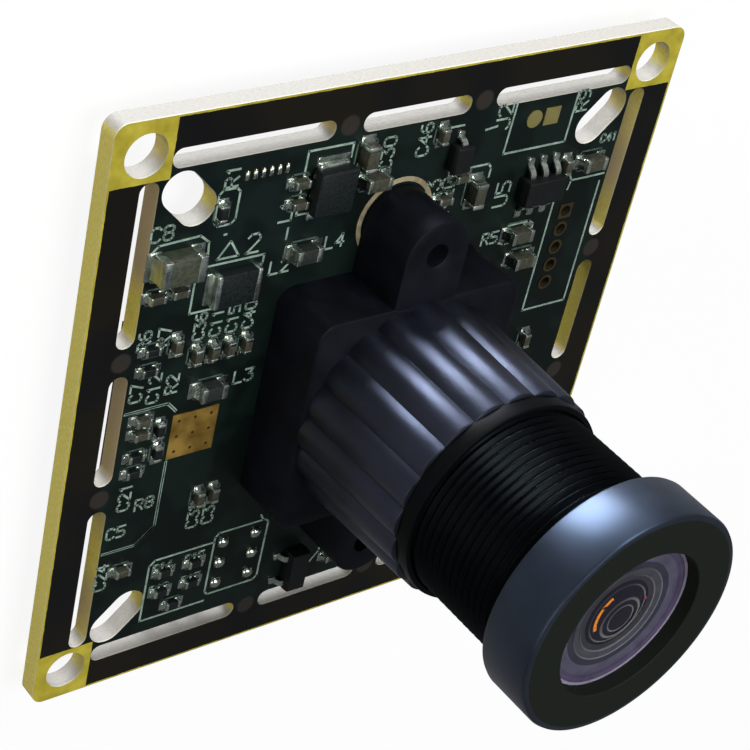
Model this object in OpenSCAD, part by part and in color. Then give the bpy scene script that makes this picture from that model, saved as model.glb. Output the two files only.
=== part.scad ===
// Square board camera with a fluted M12 lens holder and a screw-in lens.
// The origin is the centre of the corner holes on the board's rear face, +Z is the optical axis
// towards the scene, and +Y is the board's top edge.

/* [Board] */
// Width and height of the square board, with its snap-off frame
board_w = 38; // [37:0.5:44]
// Board thickness
board_t = 1.2; // [0.8:0.1:1.6]
// Rounding of the board's four corners
board_corner_r = 0.8; // [0.2:0.1:1.5]
// Distance from the board's edges to each corner hole's centre
hole_inset = 2; // [1.8:0.1:2.2]
// Diameter of the four corner holes
hole_d = 2.5; // [2:0.1:2.6]
// Distance from the board's edges to the middle of the snap-off slots
slot_inset = 2.5; // [2.2:0.1:2.7]
// Width of the snap-off slots
slot_w = 1.15; // [0.8:0.05:1.3]
// Length of the middle slot of each side
mid_slot_l = 7.3; // [5:0.1:9]
// Width of the tabs beside the middle slot
tab_w = 1.8; // [1.2:0.1:3]
// Solid corner, from the board's edge to where the outer slots start
corner_solid = 3.6; // [3.4:0.1:4.5]
// Distance from the board's edges to the middle of each diagonal slot
diagonal_inset = 5; // [4.8:0.1:5.3]
// Width of the diagonal slots
diagonal_w = 2.3; // [2:0.1:2.4]
// End-to-end length of the diagonal slots
diagonal_l = 3.9; // [3.2:0.1:4]

/* [Lens holder] */
// Width of the holder's square foot
foot_w = 14; // [13.8:0.1:15]
// Height of the foot and of its two ears
foot_h = 3.95; // [3.8:0.05:5]
// Rounding of the foot's upright corners
foot_corner_r = 1; // [0.3:0.1:2]
// Spacing of the two fixing ears
ear_pitch = 20; // [19:0.5:22]
// Radius of the rounded ears
ear_r = 2.15; // [1.9:0.05:2.4]
// Diameter of the open pilot hole in each ear's top
pilot_d = 1.4; // [1:0.1:1.6]
// Number of convex flutes round the barrel
flute_count = 20; // [12:1:26]
// Crest radius of the flutes at the foot
flute_crest_r = 7; // [6.9:0.05:7.3]
// Depth of the valleys between the flutes
flute_depth = 0.3; // [0.2:0.05:0.4]
// How far the crests draw in from the foot to the collar
barrel_draft = 0.3; // [0:0.05:0.3]
// Height of the fluted barrel above the foot
barrel_h = 8.35; // [6:0.05:9]
// Height of the plain collar above the flutes
collar_h = 0.95; // [0.5:0.05:1.5]
// Wall of the plain collar round the thread
collar_wall = 0.4; // [0.3:0.05:0.6]
// Thickness of the shelf that carries the filter
shelf_t = 0.8; // [0.5:0.1:1]
// Width of the square window in the shelf
window_w = 6.6; // [5:0.1:7.4]
// Width of the square chamber round the sensor
chamber_w = 10.6; // [9.6:0.1:11]
// Running clearance between the lens thread and the holder, on the radius
thread_clearance = 0.05; // [0.02:0.01:0.08]

/* [Lens] */
// Outer diameter of the lens thread
thread_d = 12; // [11.8:0.1:12.2]
// Pitch of the lens thread
thread_pitch = 0.5; // [0.35:0.05:0.75]
// Depth of the lens thread
thread_depth = 0.27; // [0.15:0.01:0.3]
// Length of thread that shows between the collar and the lens head
thread_shown = 6.95; // [4:0.05:9]
// Gap between the filter and the lens's rear end
rear_gap = 0.8; // [0.4:0.1:1.5]
// Diameter of the lens head
head_d = 13.9; // [13:0.1:16]
// Length of the lens head
head_h = 3.4; // [3:0.1:5]
// Chamfer on the rims of the lens head
head_chamfer = 0.2; // [0.1:0.05:0.4]
// Diameter of the opening in the head's face
opening_d = 9.1; // [8.6:0.1:10]
// Depth of the front element's rim below the head's face
opening_depth = 0.75; // [0.5:0.05:1]
// Thickness of the front element's rim
front_rim_t = 1.65; // [1.2:0.05:1.8]
// Radius of the front element's outer surface
front_surface_r = 16; // [14:0.5:30]
// Diameter of the bore that holds the inner elements
stack_d = 7.6; // [7:0.1:8]
// Clearance round the elements and spacers, on the radius
stack_clearance = 0.03; // [0.02:0.01:0.08]
// Diameter of the hole in the aperture stop
stop_d = 1.8; // [1:0.1:3]

/* [Sensor and filter] */
// Width of the image sensor's package
sensor_w = 8; // [7.6:0.1:9]
// Height of the package in the other direction
sensor_l = 7.4; // [7:0.1:9]
// Thickness of the package
sensor_t = 1.2; // [1:0.1:1.4]
// Thickness of the sensor's cover glass
cover_t = 0.4; // [0.3:0.05:0.5]
// Width of the square infrared filter
filter_w = 8; // [7.6:0.1:8.2]
// Thickness of the filter
filter_t = 0.3; // [0.2:0.05:0.5]

/* [Rear parts] */
// Height of the screw heads and of the tall rear parts, which the module rests on
rest_h = 1.5; // [1.4:0.05:2]
// Diameter of the holder screws' heads
screw_head_d = 3.8; // [3.4:0.1:4.2]
// Diameter of the holder screws' threads
screw_d = 1.9; // [1.8:0.05:2]
// Length of the holder screws that stands in the holder
screw_grip = 2.8; // [2:0.1:3]
// Number of contacts in each of the rear connector's two rows
contact_count = 15; // [6:1:16]

/* [Hidden] */
$fn = 64;

half_w = board_w / 2;
inner_half = half_w - slot_inset;
slot_reach = half_w - corner_solid;
tab_end = mid_slot_l / 2 + tab_w;
screw_clearance = 0.1;
thread_play = 0.02;
screw_hole_r = screw_d / 2 + screw_clearance;

foot_top = board_t + foot_h;
flute_top = foot_top + barrel_h;
collar_top = flute_top + collar_h;
bore_r = thread_d / 2 + thread_clearance;
collar_r = thread_d / 2 + collar_wall;
valley_r = flute_crest_r - flute_depth;
draft_scale = (flute_crest_r - barrel_draft) / flute_crest_r;
shelf_top = foot_top - 0.45;
shelf_bottom = shelf_top - shelf_t;

head_z = collar_top + thread_shown;
face_z = head_z + head_h;
rim_top = face_z - opening_depth;
rim_bottom = rim_top - front_rim_t;
lens_rear_z = shelf_top + filter_t + rear_gap;
opening_r = opening_d / 2;
stack_r = stack_d / 2;
piece_r = stack_r - stack_clearance;
lip_t = 1.2;
lip_r = stack_r - 0.5;
seal_wire = 0.5;

// Heights of the pieces in the lens bore, from the lip backwards
second_t = 1.7;
spacer_t = 2.6;
stop_t = 0.3;
third_t = 2.4;
rear_spacer_t = 1.3;
rear_element_t = 2.4;
retainer_t = 1.8;
second_z = rim_bottom - lip_t - second_t;
spacer_z = second_z - spacer_t;
stop_z = spacer_z - stop_t;
third_z = stop_z - third_t;
rear_spacer_z = third_z - rear_spacer_t;
rear_element_z = rear_spacer_z - rear_element_t;
retainer_z = rear_element_z - retainer_t;

// A flat strip with round ends, from x = a to x = b
module strip(a, b, width) {
    translate([a + width / 2, -width / 2]) square([b - a - width, width]);
    for (x = [a + width / 2, b - width / 2]) translate([x, 0]) circle(d = width);
}

// A square with round corners, centred
module round_square(width, length, radius) {
    square([width - 2 * radius, length], center = true);
    square([width, length - 2 * radius], center = true);
    for (x = [-1, 1], y = [-1, 1])
        translate([x * (width / 2 - radius), y * (length / 2 - radius)]) circle(r = radius);
}

// Puts its children at (x, y) inward from the corner of the inner board that sx and sy name
module from_corner(sx, sy, x, y, angle = 0) {
    translate([sx * (inner_half - x), sy * (inner_half - y), board_t]) rotate(angle) children();
}

// ---- Board ----

// Centres of the five plated holes of the empty connector place, down from the top corner
header_inset = 3.15;
header_first = 8.7;
header_pitch = 1.25;
header_count = 5;
header_hole_d = 0.6;

module board_outline() {
    difference() {
        round_square(board_w, board_w, board_corner_r);
        for (x = [-1, 1], y = [-1, 1]) {
            translate([x, y] * (half_w - hole_inset)) circle(d = hole_d);
            translate([x, y] * (half_w - diagonal_inset)) rotate(x * y * 45)
                strip(-diagonal_l / 2, diagonal_l / 2, diagonal_w);
        }
        for (side = [0:3]) rotate(90 * side) translate([0, inner_half]) {
            strip(-mid_slot_l / 2, mid_slot_l / 2, slot_w);
            for (s = [0, 1]) mirror([s, 0]) strip(tab_end, slot_reach, slot_w);
        }
        for (y = [-1, 1]) translate([0, y * ear_pitch / 2]) circle(r = screw_hole_r);
        for (i = [0:header_count - 1])
            translate([inner_half - header_inset, inner_half - header_first - i * header_pitch])
                circle(d = header_hole_d);
    }
}

module board() {
    color([0.1, 0.13, 0.11]) linear_extrude(board_t) board_outline();
}

// Gold-plated copper lands that stand a hair above the board
land_t = 0.05;
thermal_land_w = 3;
thermal_land_in = [5.4, 17.95];

// Two test lands near the upper right corner, one round and one square
test_land_w = 1.1;
test_land_pitch = 1.3;
test_land_in = [6.5, 1.8];
// Lands round the header holes
header_land_w = 1;
header_land_gap = 0.1;
// A row of fine lands near the upper left corner
strip_count = 6;
strip_pitch = 0.5;
strip_w = 0.22;
strip_l = 0.5;
strip_in = [5.85, 1.8];
// Two rows of lands for a part that isn't fitted
spare_count = 3;
spare_pitch = 1.55;
spare_row_gap = 2.3;
spare_w = 0.6;
spare_in = [9.2, 2.75];

module land(width, length) {
    translate([0, 0, land_t / 2]) cube([width, length, land_t], center = true);
}

module plated_lands() {
    color([0.78, 0.62, 0.25]) {
        from_corner(-1, 1, thermal_land_in.x, thermal_land_in.y)
            land(thermal_land_w, thermal_land_w);
        from_corner(1, 1, test_land_in.x + test_land_pitch, test_land_in.y)
            cylinder(d = test_land_w, h = land_t);
        from_corner(1, 1, test_land_in.x, test_land_in.y) land(test_land_w, test_land_w);
        for (i = [0:header_count - 1])
            from_corner(1, 1, header_inset, header_first + i * header_pitch) difference() {
                if (i == 0) land(header_land_w, header_land_w);
                else cylinder(d = header_land_w, h = land_t);
                translate([0, 0, -land_t])
                    cylinder(d = header_hole_d + header_land_gap, h = 3 * land_t);
            }
        for (i = [0:strip_count - 1])
            from_corner(-1, 1, strip_in.x + strip_pitch * i, strip_in.y) land(strip_w, strip_l);
        for (side = [0, 1], i = [0:spare_count - 1])
            from_corner(-1, -1, spare_in.x + side * spare_row_gap, spare_in.y + spare_pitch * i)
                land(spare_w, spare_w);
    }
}

// ---- Lens holder ----

// Each flute is an arc through its two valleys and its crest
half_step = 180 / flute_count;
flute_sagitta = flute_crest_r - valley_r * cos(half_step);
flute_half_chord = valley_r * sin(half_step);
flute_arc_r = (pow(flute_sagitta, 2) + pow(flute_half_chord, 2)) / (2 * flute_sagitta);

module fluted_section() {
    circle(r = valley_r - flute_depth / 2, $fn = 120);
    for (i = [0:flute_count - 1]) rotate(90 + i * 2 * half_step)
        translate([flute_crest_r - flute_arc_r, 0]) circle(r = flute_arc_r, $fn = 48);
}

module ear_section() {
    for (s = [0, 1]) mirror([0, s]) {
        translate([0, ear_pitch / 2]) circle(r = ear_r);
        translate([-ear_r, 0]) square([2 * ear_r, ear_pitch / 2]);
    }
}

module lens_holder() {
    collar_chamfer = collar_wall / 3;
    color([0.11, 0.12, 0.17]) difference() {
        union() {
            translate([0, 0, board_t]) linear_extrude(foot_h) {
                round_square(foot_w, foot_w, foot_corner_r);
                ear_section();
            }
            translate([0, 0, foot_top - 0.01])
                linear_extrude(barrel_h + 0.01, scale = draft_scale) fluted_section();
            rotate_extrude() polygon([[0, board_t], [collar_r, board_t],
                [collar_r, collar_top - collar_chamfer], [collar_r - collar_chamfer, collar_top],
                [0, collar_top]]);
        }
        translate([0, 0, shelf_top]) cylinder(r = bore_r, h = collar_top);
        translate([0, 0, board_t]) cube([window_w, window_w, 3 * foot_h], center = true);
        translate([-chamber_w / 2, -chamber_w / 2, board_t - 1])
            cube([chamber_w, chamber_w, shelf_bottom - board_t + 1]);
        for (y = [-1, 1]) translate([0, y * ear_pitch / 2, 0]) {
            cylinder(d = pilot_d, h = foot_top + 1);
            cylinder(r = screw_d / 2 + thread_play, h = board_t + screw_grip + 0.2);
        }
    }
}

// Pan-head screws that come up through the board into the ears
module holder_screws() {
    recess_w = 0.5;
    recess_depth = 0.7;
    dome_h = rest_h * 0.4;
    tip_h = 0.4;
    color([0.6, 0.6, 0.6]) for (y = [-1, 1]) translate([0, y * ear_pitch / 2, 0]) difference() {
        union() {
            cylinder(d = screw_d, h = board_t + screw_grip - tip_h);
            translate([0, 0, board_t + screw_grip - tip_h])
                cylinder(d1 = screw_d, d2 = screw_d - 0.6, h = tip_h);
            translate([0, 0, dome_h - rest_h]) cylinder(d = screw_head_d, h = rest_h - dome_h);
            translate([0, 0, -rest_h])
                cylinder(d1 = screw_head_d - 0.9, d2 = screw_head_d, h = dome_h);
        }
        for (a = [0, 90]) rotate(a) translate([0, 0, -rest_h])
            cube([screw_d, recess_w, 2 * recess_depth], center = true);
    }
}

// ---- Image sensor and filter ----

die_t = 0.3;
pocket_depth = sensor_t * 0.6;
sensor_wall = 0.9;

module image_sensor() {
    color([0.16, 0.16, 0.17]) translate([0, 0, board_t]) difference() {
        translate([-sensor_w / 2, -sensor_l / 2, 0]) cube([sensor_w, sensor_l, sensor_t]);
        translate([sensor_wall - sensor_w / 2, sensor_wall - sensor_l / 2, sensor_t - pocket_depth])
            cube([sensor_w - 2 * sensor_wall, sensor_l - 2 * sensor_wall, sensor_t]);
    }
}

module sensor_die() {
    color([0.2, 0.25, 0.4]) translate([0, 0, board_t + sensor_t - pocket_depth + die_t / 2])
        cube([sensor_w - 2.6 * sensor_wall, sensor_l - 3.4 * sensor_wall, die_t], center = true);
}

module sensor_glass() {
    color([0.7, 0.8, 0.85, 0.5]) translate([0, 0, board_t + sensor_t + cover_t / 2])
        cube([sensor_w - 0.6, sensor_l - 0.6, cover_t], center = true);
}

module ir_cut_filter() {
    color([0.55, 0.8, 0.85, 0.5]) translate([0, 0, shelf_top + filter_t / 2])
        cube([filter_w, filter_w, filter_t], center = true);
}

// ---- Lens ----

thread_r = thread_d / 2;
ridge_count = floor((thread_shown - thread_pitch) / thread_pitch);
relief_r = thread_r - 1.3 * thread_depth;

// The barrel's section, from the rear end up the outside and back down the bore
function ridge(i) = let (z = collar_top + i * thread_pitch, crest = thread_pitch / 8) [
    [thread_r, z + crest], [thread_r - thread_depth, z + thread_pitch / 2 - crest / 2],
    [thread_r - thread_depth, z + thread_pitch / 2 + crest / 2],
    [thread_r, z + thread_pitch - crest]];

module lens_barrel() {
    thread_end = collar_top + ridge_count * thread_pitch;
    head_r = head_d / 2;
    rear_chamfer = 0.3;
    color([0.07, 0.07, 0.08]) rotate_extrude() polygon(concat(
        [[stack_r, lens_rear_z], [thread_r - rear_chamfer, lens_rear_z],
            [thread_r, lens_rear_z + rear_chamfer]],
        [for (i = [0:ridge_count - 1]) each ridge(i)],
        [[thread_r, thread_end], [relief_r, thread_end + thread_depth], [relief_r, head_z],
            [head_r - head_chamfer, head_z], [head_r, head_z + head_chamfer],
            [head_r, face_z - head_chamfer], [head_r - head_chamfer, face_z],
            [opening_r, face_z], [opening_r, rim_bottom], [lip_r, rim_bottom],
            [lip_r, rim_bottom - lip_t], [stack_r, rim_bottom - lip_t]]));
}

// A cap of a sphere of radius ball on a flat circle of radius reach, apex up
module dome(ball, reach) {
    sag = ball - sqrt(pow(ball, 2) - pow(reach, 2));
    intersection() {
        translate([0, 0, sag - ball]) sphere(r = ball, $fn = 120);
        cylinder(r = reach, h = sag + 1);
    }
}

// A lens element of thickness t: a dome on top if up > 0, a hollow there if up < 0,
// and the same below for down
module element(r, t, up, down, reach) {
    difference() {
        union() {
            cylinder(r = r, h = t);
            if (up > 0) translate([0, 0, t]) dome(up, reach);
            if (down > 0) mirror([0, 0, 1]) dome(down, reach);
        }
        if (up < 0) translate([0, 0, t]) mirror([0, 0, 1]) dome(-up, reach);
        if (down < 0) dome(-down, reach);
    }
}

front_play = 0.05;
seal_step_h = seal_wire + 0.06;
front_r = opening_r - front_play;
step_r = opening_r - seal_wire - 0.04;

module front_element() {
    front_reach = front_r - 0.25;
    rear_ball = 4.4;
    color([0.6, 0.6, 0.68, 0.5]) translate([0, 0, rim_bottom]) difference() {
        union() {
            cylinder(r = step_r, h = front_rim_t);
            translate([0, 0, seal_step_h]) cylinder(r = front_r, h = front_rim_t - seal_step_h);
            translate([0, 0, front_rim_t]) dome(front_surface_r, front_reach);
        }
        dome(rear_ball, lip_r);
    }
}

// Rubber ring in the step under the front element's rim
module front_seal() {
    color([0.05, 0.05, 0.05]) translate([0, 0, rim_bottom + seal_wire / 2])
        rotate_extrude() translate([opening_r - seal_wire / 2 - 0.02, 0])
            circle(d = seal_wire - 0.02);
}

module second_element() {
    color([0.6, 0.65, 0.7, 0.5]) translate([0, 0, second_z])
        element(piece_r, second_t, 6, -5, piece_r - 0.8);
}

module ring(outer, inner, h) {
    difference() {
        cylinder(r = outer, h = h);
        translate([0, 0, -1]) cylinder(r = inner, h = h + 2);
    }
}

module lens_spacer() {
    color([0.08, 0.08, 0.08]) translate([0, 0, spacer_z]) ring(piece_r, piece_r - 0.8, spacer_t);
}

module aperture_stop() {
    color([0.05, 0.05, 0.05]) translate([0, 0, stop_z]) ring(piece_r, stop_d / 2, stop_t);
}

module third_element() {
    color([0.6, 0.65, 0.7, 0.5]) translate([0, 0, third_z]) difference() {
        cylinder(r = piece_r, h = third_t);
        translate([0, 0, third_t]) mirror([0, 0, 1]) dome(12, piece_r - 0.6);
        dome(8, piece_r - 0.6);
    }
}

module rear_spacer() {
    color([0.08, 0.08, 0.08]) translate([0, 0, rear_spacer_z])
        ring(piece_r, piece_r - 0.6, rear_spacer_t);
}

module rear_element() {
    color([0.6, 0.65, 0.7, 0.5]) translate([0, 0, rear_element_z])
        element(piece_r, rear_element_t, 9, -14, piece_r - 0.9);
}

// Ring screwed in from the rear, with two slots for a pin spanner
module lens_retainer() {
    color([0.1, 0.1, 0.1]) translate([0, 0, retainer_z]) difference() {
        ring(piece_r, piece_r - 1.1, retainer_t);
        cube([3 * piece_r, 0.8, 1], center = true);
    }
}

// ---- Front electronic parts ----

// A chip of size [length, width, height, end], its body a hair slimmer than its metal ends
module chip(size) {
    slim = 0.03;
    length = size[0];
    width = size[1];
    height = size[2];
    end = size[3];
    translate([slim - length / 2, slim - width / 2, slim])
        cube([length - 2 * slim, width - 2 * slim, height - 2 * slim]);
    for (s = [0, 1]) mirror([s, 0, 0]) translate([length / 2 - end, -width / 2, 0])
        cube([end, width, height]);
}

// Bent leads along +y, from the body's side down to a foot on the board
module gull_leads(count, pitch, body_w, span, lead_w, shoulder) {
    lead_t = 0.13;
    foot = 0.4;
    for (i = [0:count - 1]) translate([(i - (count - 1) / 2) * pitch, 0, 0])
        rotate([90, 0, 90]) translate([0, 0, -lead_w / 2]) linear_extrude(lead_w) polygon([
            [body_w / 2 - 0.2, shoulder], [body_w / 2 + 0.15, shoulder],
            [span / 2 - foot - 0.05, 0], [span / 2, 0], [span / 2, lead_t],
            [span / 2 - foot + 0.05, lead_t], [body_w / 2 + 0.25, shoulder + lead_t],
            [body_w / 2 - 0.2, shoulder + lead_t]]);
}

// A moulded package whose sides slope to a parting line at mid height
module moulded_body(length, width, low, high) {
    middle = (low + high) / 2;
    draft = 0.08;
    for (s = [0, 1]) translate([0, 0, middle]) mirror([0, 0, s])
        intersection() {
            rotate([90, 0, 0]) linear_extrude(width, center = true)
                polygon([[-length / 2, 0], [length / 2, 0], [length / 2 - draft, (high - low) / 2],
                    [draft - length / 2, (high - low) / 2]]);
            rotate([90, 0, 90]) linear_extrude(length, center = true)
                polygon([[-width / 2, 0], [width / 2, 0], [width / 2 - draft, (high - low) / 2],
                    [draft - width / 2, (high - low) / 2]]);
        }
}

// Places of like parts: the corner's signs, the distances inward from it, and the turn
module at_places(places) {
    for (p = places) from_corner(p[0], p[1], p[2], p[3], p[4]) children();
}

capacitor_0603_places = [[-1, 1, 13.4, 1.9, 90], [-1, 1, 14.3, 3.6, 0], [1, 1, 2.4, 5.4, 0],
    [1, 1, 6.8, 9.4, 0], [1, 1, 6, 11.3, 0], [1, 1, 11.1, 5.8, 90]];
capacitor_0402_places = [[-1, 1, 9.3, 2.8, 0], [-1, 1, 9.4, 4.1, 0], [-1, 1, 1.35, 8.1, 0],
    [-1, 1, 2.75, 8.05, 0], [-1, 1, 4.6, 12.55, 90], [-1, 1, 5.65, 12.55, 90],
    [-1, 1, 6.7, 12.55, 90], [-1, 1, 7.8, 12.55, 90], [-1, 1, 3.2, 11.55, 90],
    [-1, 1, 1.8, 16.1, 0], [-1, 1, 1.8, 17, 0], [-1, -1, 6.6, 10.1, 90],
    [-1, -1, 7.6, 10.1, 90], [-1, -1, 2.1, 6.2, 0], [1, 1, 14.5, 1.6, 90],
    [1, 1, 13.3, 5.9, 0], [1, 1, 12.4, 4.6, 0], [1, 1, 4.3, 5.4, 90], [1, 1, 3.6, 17.7, 90],
    [1, -1, 15.3, 2, 0], [1, -1, 3, 9, 0], [1, -1, 3, 7.8, 0], [1, -1, 7.4, 3.2, 90]];
resistor_0402_places = [[-1, 1, 4.65, 3.7, 90], [-1, 1, 1.7, 12.85, 0], [-1, 1, 1.7, 11.55, 0],
    [-1, -1, 1.8, 14.4, 0], [-1, -1, 1.8, 13.3, 0], [-1, -1, 3.1, 15.9, 90],
    [-1, -1, 3.2, 14.3, 90], [-1, -1, 5.2, 5, 0], [-1, -1, 5.2, 3.5, 0],
    [-1, -1, 7.3, 5, 0], [-1, -1, 7.3, 3.5, 0], [-1, -1, 6.2, 2.2, 0], [1, -1, 5.6, 5, 0],
    [1, -1, 5.6, 3.8, 0]];
ferrite_places = [[-1, 1, 10.5, 7.25, 0], [-1, 1, 5.9, 15.05, 0]];

// Sizes of the common chips: length, width, height and the length of a metal end
size_0402 = [1, 0.5, 0.5, 0.22];
resistor_0402 = [1, 0.5, 0.35, 0.2];
size_0603 = [1.6, 0.8, 0.8, 0.3];
ferrite_size = [1.7, 0.9, 0.8, 0.4];
bulk_size = [2.6, 1.6, 1.1, 0.5];
bulk_in = [2.25, 6.2];

module capacitors_0603() {
    color([0.55, 0.47, 0.36]) at_places(capacitor_0603_places) chip(size_0603);
}

module capacitors_0402() {
    color([0.5, 0.43, 0.34]) at_places(capacitor_0402_places) chip(size_0402);
}

module resistors_0402() {
    color([0.1, 0.1, 0.1]) at_places(resistor_0402_places) chip(resistor_0402);
}

module ferrite_beads() {
    color([0.35, 0.35, 0.36]) at_places(ferrite_places) chip(ferrite_size);
}

module bulk_capacitor() {
    color([0.33, 0.33, 0.24]) from_corner(-1, 1, bulk_in.x, bulk_in.y) chip(bulk_size);
}

// Square inductor with a moulded, bevelled cover and two metal ends under it
shielded_size = [2.5, 2.7, 0.9];
shielded_in = [11.3, 3.45];
terminal_w = 0.5;
terminal_h = 0.3;
terminal_out = 0.2;

module shielded_inductor() {
    end_y = shielded_size.y / 2 + terminal_out - terminal_w / 2;
    color([0.2, 0.2, 0.22]) from_corner(-1, 1, shielded_in.x, shielded_in.y) {
        translate([0, 0, terminal_h / 2])
            moulded_body(shielded_size.x, shielded_size.y, 0, shielded_size.z - terminal_h / 2);
        for (s = [-1, 1]) translate([0, s * end_y, terminal_h / 2])
            cube([shielded_size.x * 0.8, terminal_w, terminal_h], center = true);
    }
}

power_size = [2.9, 2.1, 0.65, 0.4];
power_in = [6.2, 8.4];

module power_inductor() {
    color([0.18, 0.18, 0.2]) from_corner(-1, 1, power_in.x, power_in.y) chip(power_size);
}

// Small moulded packages: body length, body width, height, span over the leads, lead pitch
lead_w = 0.4;
standoff = 0.1;
shoulder_h = 0.45;
regulator_size = [3, 1.7, 1, 3.7, 0.95];
regulator_in = [6.2, 6.35];
transistor_size = [2.9, 1.4, 1, 2.5, 1.9];
transistor_in = [14.75, 2.3];
diode_size = [1.25, 1.7, 0.85, 2.6, 1];
diode_in = [13.1, 3.1];

// upper and lower are the numbers of leads on the two sides, lower_pitch the lower side's pitch
module small_package(size, upper, lower, lower_pitch) {
    moulded_body(size[0], size[1], standoff, size[2]);
    gull_leads(upper, size[4], size[1], size[3], lead_w, shoulder_h);
    mirror([0, 1, 0]) gull_leads(lower, lower_pitch, size[1], size[3], lead_w, shoulder_h);
}

module regulator_ic() {
    color([0.1, 0.1, 0.11]) from_corner(1, 1, regulator_in.x, regulator_in.y)
        small_package(regulator_size, 3, 3, regulator_size[4]);
}

module switch_transistor() {
    color([0.1, 0.1, 0.11]) from_corner(-1, -1, transistor_in.x, transistor_in.y, 90)
        small_package(transistor_size, 2, 1, transistor_size[4]);
}

module clamp_diode() {
    color([0.1, 0.1, 0.11]) from_corner(1, 1, diode_in.x, diode_in.y)
        small_package(diode_size, 1, 1, diode_size[4]);
}

// ---- Rear electronic parts ----

// Puts its children on the rear face, facing backwards
module on_rear(x, y, angle = 0) {
    translate([x, y, 0]) rotate([180, 0, angle]) children();
}

connector_x = -(inner_half - 3.6);
contact_pitch = 0.5;
connector_w = 4;
groove_w = 0.9;
groove_y = 1.1;
contact_t = 0.12;
connector_l = contact_count * contact_pitch + 2.6;
groove_l = contact_count * contact_pitch + 0.8;

// Board-to-board receptacle: a wall round a middle island
module rear_connector() {
    color([0.1, 0.1, 0.1]) on_rear(connector_x, 0, 90) difference() {
        translate([0, 0, (rest_h + contact_t) / 2])
            cube([connector_l, connector_w, rest_h - contact_t], center = true);
        for (s = [-1, 1]) translate([0, s * groove_y, 0])
            cube([groove_l, groove_w, 3 * rest_h], center = true);
    }
}

// Each contact has a tail on the board, passes under the wall and stands up inside it
module connector_contacts() {
    tail = 0.6;
    inner = groove_y + groove_w / 2 - contact_t;
    color([0.8, 0.65, 0.3]) on_rear(connector_x, 0, 90)
        for (s = [0, 1], i = [0:contact_count - 1]) mirror([0, s, 0])
            translate([(i - (contact_count - 1) / 2) * contact_pitch - contact_pitch / 5, 0, 0])
                rotate([90, 0, 90]) linear_extrude(contact_pitch * 0.4) polygon([
                    [inner, 0], [connector_w / 2 + tail, 0], [connector_w / 2 + tail, contact_t],
                    [inner + contact_t, contact_t], [inner + contact_t, rest_h * 0.8],
                    [inner, rest_h * 0.8]]);
}

// Ball-grid package: a thin base board with a moulded cap
package_w = 9;
package_base_t = 0.35;
package_t = 1.1;
package_step = 0.25;
pin_mark_d = 0.7;
pin_mark_depth = 0.08;
pin_mark_in = 1.5;

module image_processor() {
    cap_w = package_w - 2 * package_step;
    mark = cap_w / 2 - pin_mark_in;
    color([0.11, 0.11, 0.12]) on_rear(0, 0) {
        translate([-package_w / 2, -package_w / 2, 0])
            cube([package_w, package_w, package_base_t]);
        difference() {
            moulded_body(cap_w, cap_w, package_base_t / 2, package_t);
            translate([-mark, mark, package_t - pin_mark_depth])
                cylinder(d = pin_mark_d, h = package_t);
        }
    }
}

// Memory in a moulded package as tall as the screw heads
memory_l = 4.9;
memory_w = 3.9;
memory_span = 6;
memory_pitch = 1.27;
memory_shoulder = 0.65;
memory_in = [4.2, 19];

module flash_memory() {
    color([0.1, 0.1, 0.11]) on_rear(inner_half - memory_in.x, inner_half - memory_in.y, 90) {
        moulded_body(memory_l, memory_w, standoff, rest_h);
        for (s = [0, 1]) mirror([0, s, 0])
            gull_leads(4, memory_pitch, memory_w, memory_span, lead_w, memory_shoulder);
    }
}

crystal_size = [3.2, 2.5, 0.45];
crystal_lid = [2.8, 2.1, 0.25];
crystal_in = [10, 5];

module crystal() {
    color([0.72, 0.72, 0.7]) on_rear(inner_half - crystal_in.x, inner_half - crystal_in.y, 0) {
        translate([0, 0, crystal_size.z / 2]) cube(crystal_size, center = true);
        translate([0, 0, crystal_size.z + crystal_lid.z / 2]) cube(crystal_lid, center = true);
    }
}

core_regulator_size = [2.9, 1.6, 1.1, 2.8, 0.95];
core_regulator_in = [10, 4.6];

module core_regulator() {
    color([0.1, 0.1, 0.11])
        on_rear(core_regulator_in.x - inner_half, inner_half - core_regulator_in.y, 0)
            small_package(core_regulator_size, 3, 2, 2 * core_regulator_size[4]);
}

rear_inductor_size = [3, 3, 1.1];
rear_inductor_in = [9.5, 4.4];
rear_terminal_w = 0.6;

module rear_inductor() {
    end_x = rear_inductor_size.x / 2 + terminal_out / 2 - rear_terminal_w / 2;
    color([0.25, 0.25, 0.26])
        on_rear(rear_inductor_in.x - inner_half, rear_inductor_in.y - inner_half, 0) {
            translate([0, 0, standoff])
                moulded_body(rear_inductor_size.x, rear_inductor_size.y, 0,
                    rear_inductor_size.z - standoff);
            for (s = [-1, 1]) translate([s * end_x, 0, standoff])
                cube([rear_terminal_w, rear_inductor_size.y * 0.7, 2 * standoff], center = true);
        }
}

// Decoupling capacitors beside the ball-grid package, and larger ones near the lower edge
decoupling_gap = 1.1;
decoupling_pitch = 2.2;
decoupling_count = 4;
bulk_row_count = 3;
bulk_row_pitch = 1.6;
bulk_row_in = [6, 1.8];

module rear_capacitors() {
    beside = package_w / 2 + decoupling_gap;
    first = decoupling_pitch * (decoupling_count - 1) / 2;
    color([0.5, 0.43, 0.34]) {
        for (x = [-1, 1], i = [0:decoupling_count - 1])
            on_rear(x * beside, first - decoupling_pitch * i, 90) chip(size_0402);
        for (i = [0:bulk_row_count - 1])
            on_rear(bulk_row_in.x - inner_half + bulk_row_pitch * i,
                bulk_row_in.y - inner_half, 90) chip(size_0603);
    }
}

resistor_row_count = 6;
resistor_row_pitch = 1.3;
resistor_row_in = [6, 3.4];

module rear_resistors() {
    color([0.1, 0.1, 0.1]) for (i = [0:resistor_row_count - 1])
        on_rear(inner_half - resistor_row_in.x - resistor_row_pitch * i,
            resistor_row_in.y - inner_half, 90) chip(resistor_0402);
}

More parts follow.
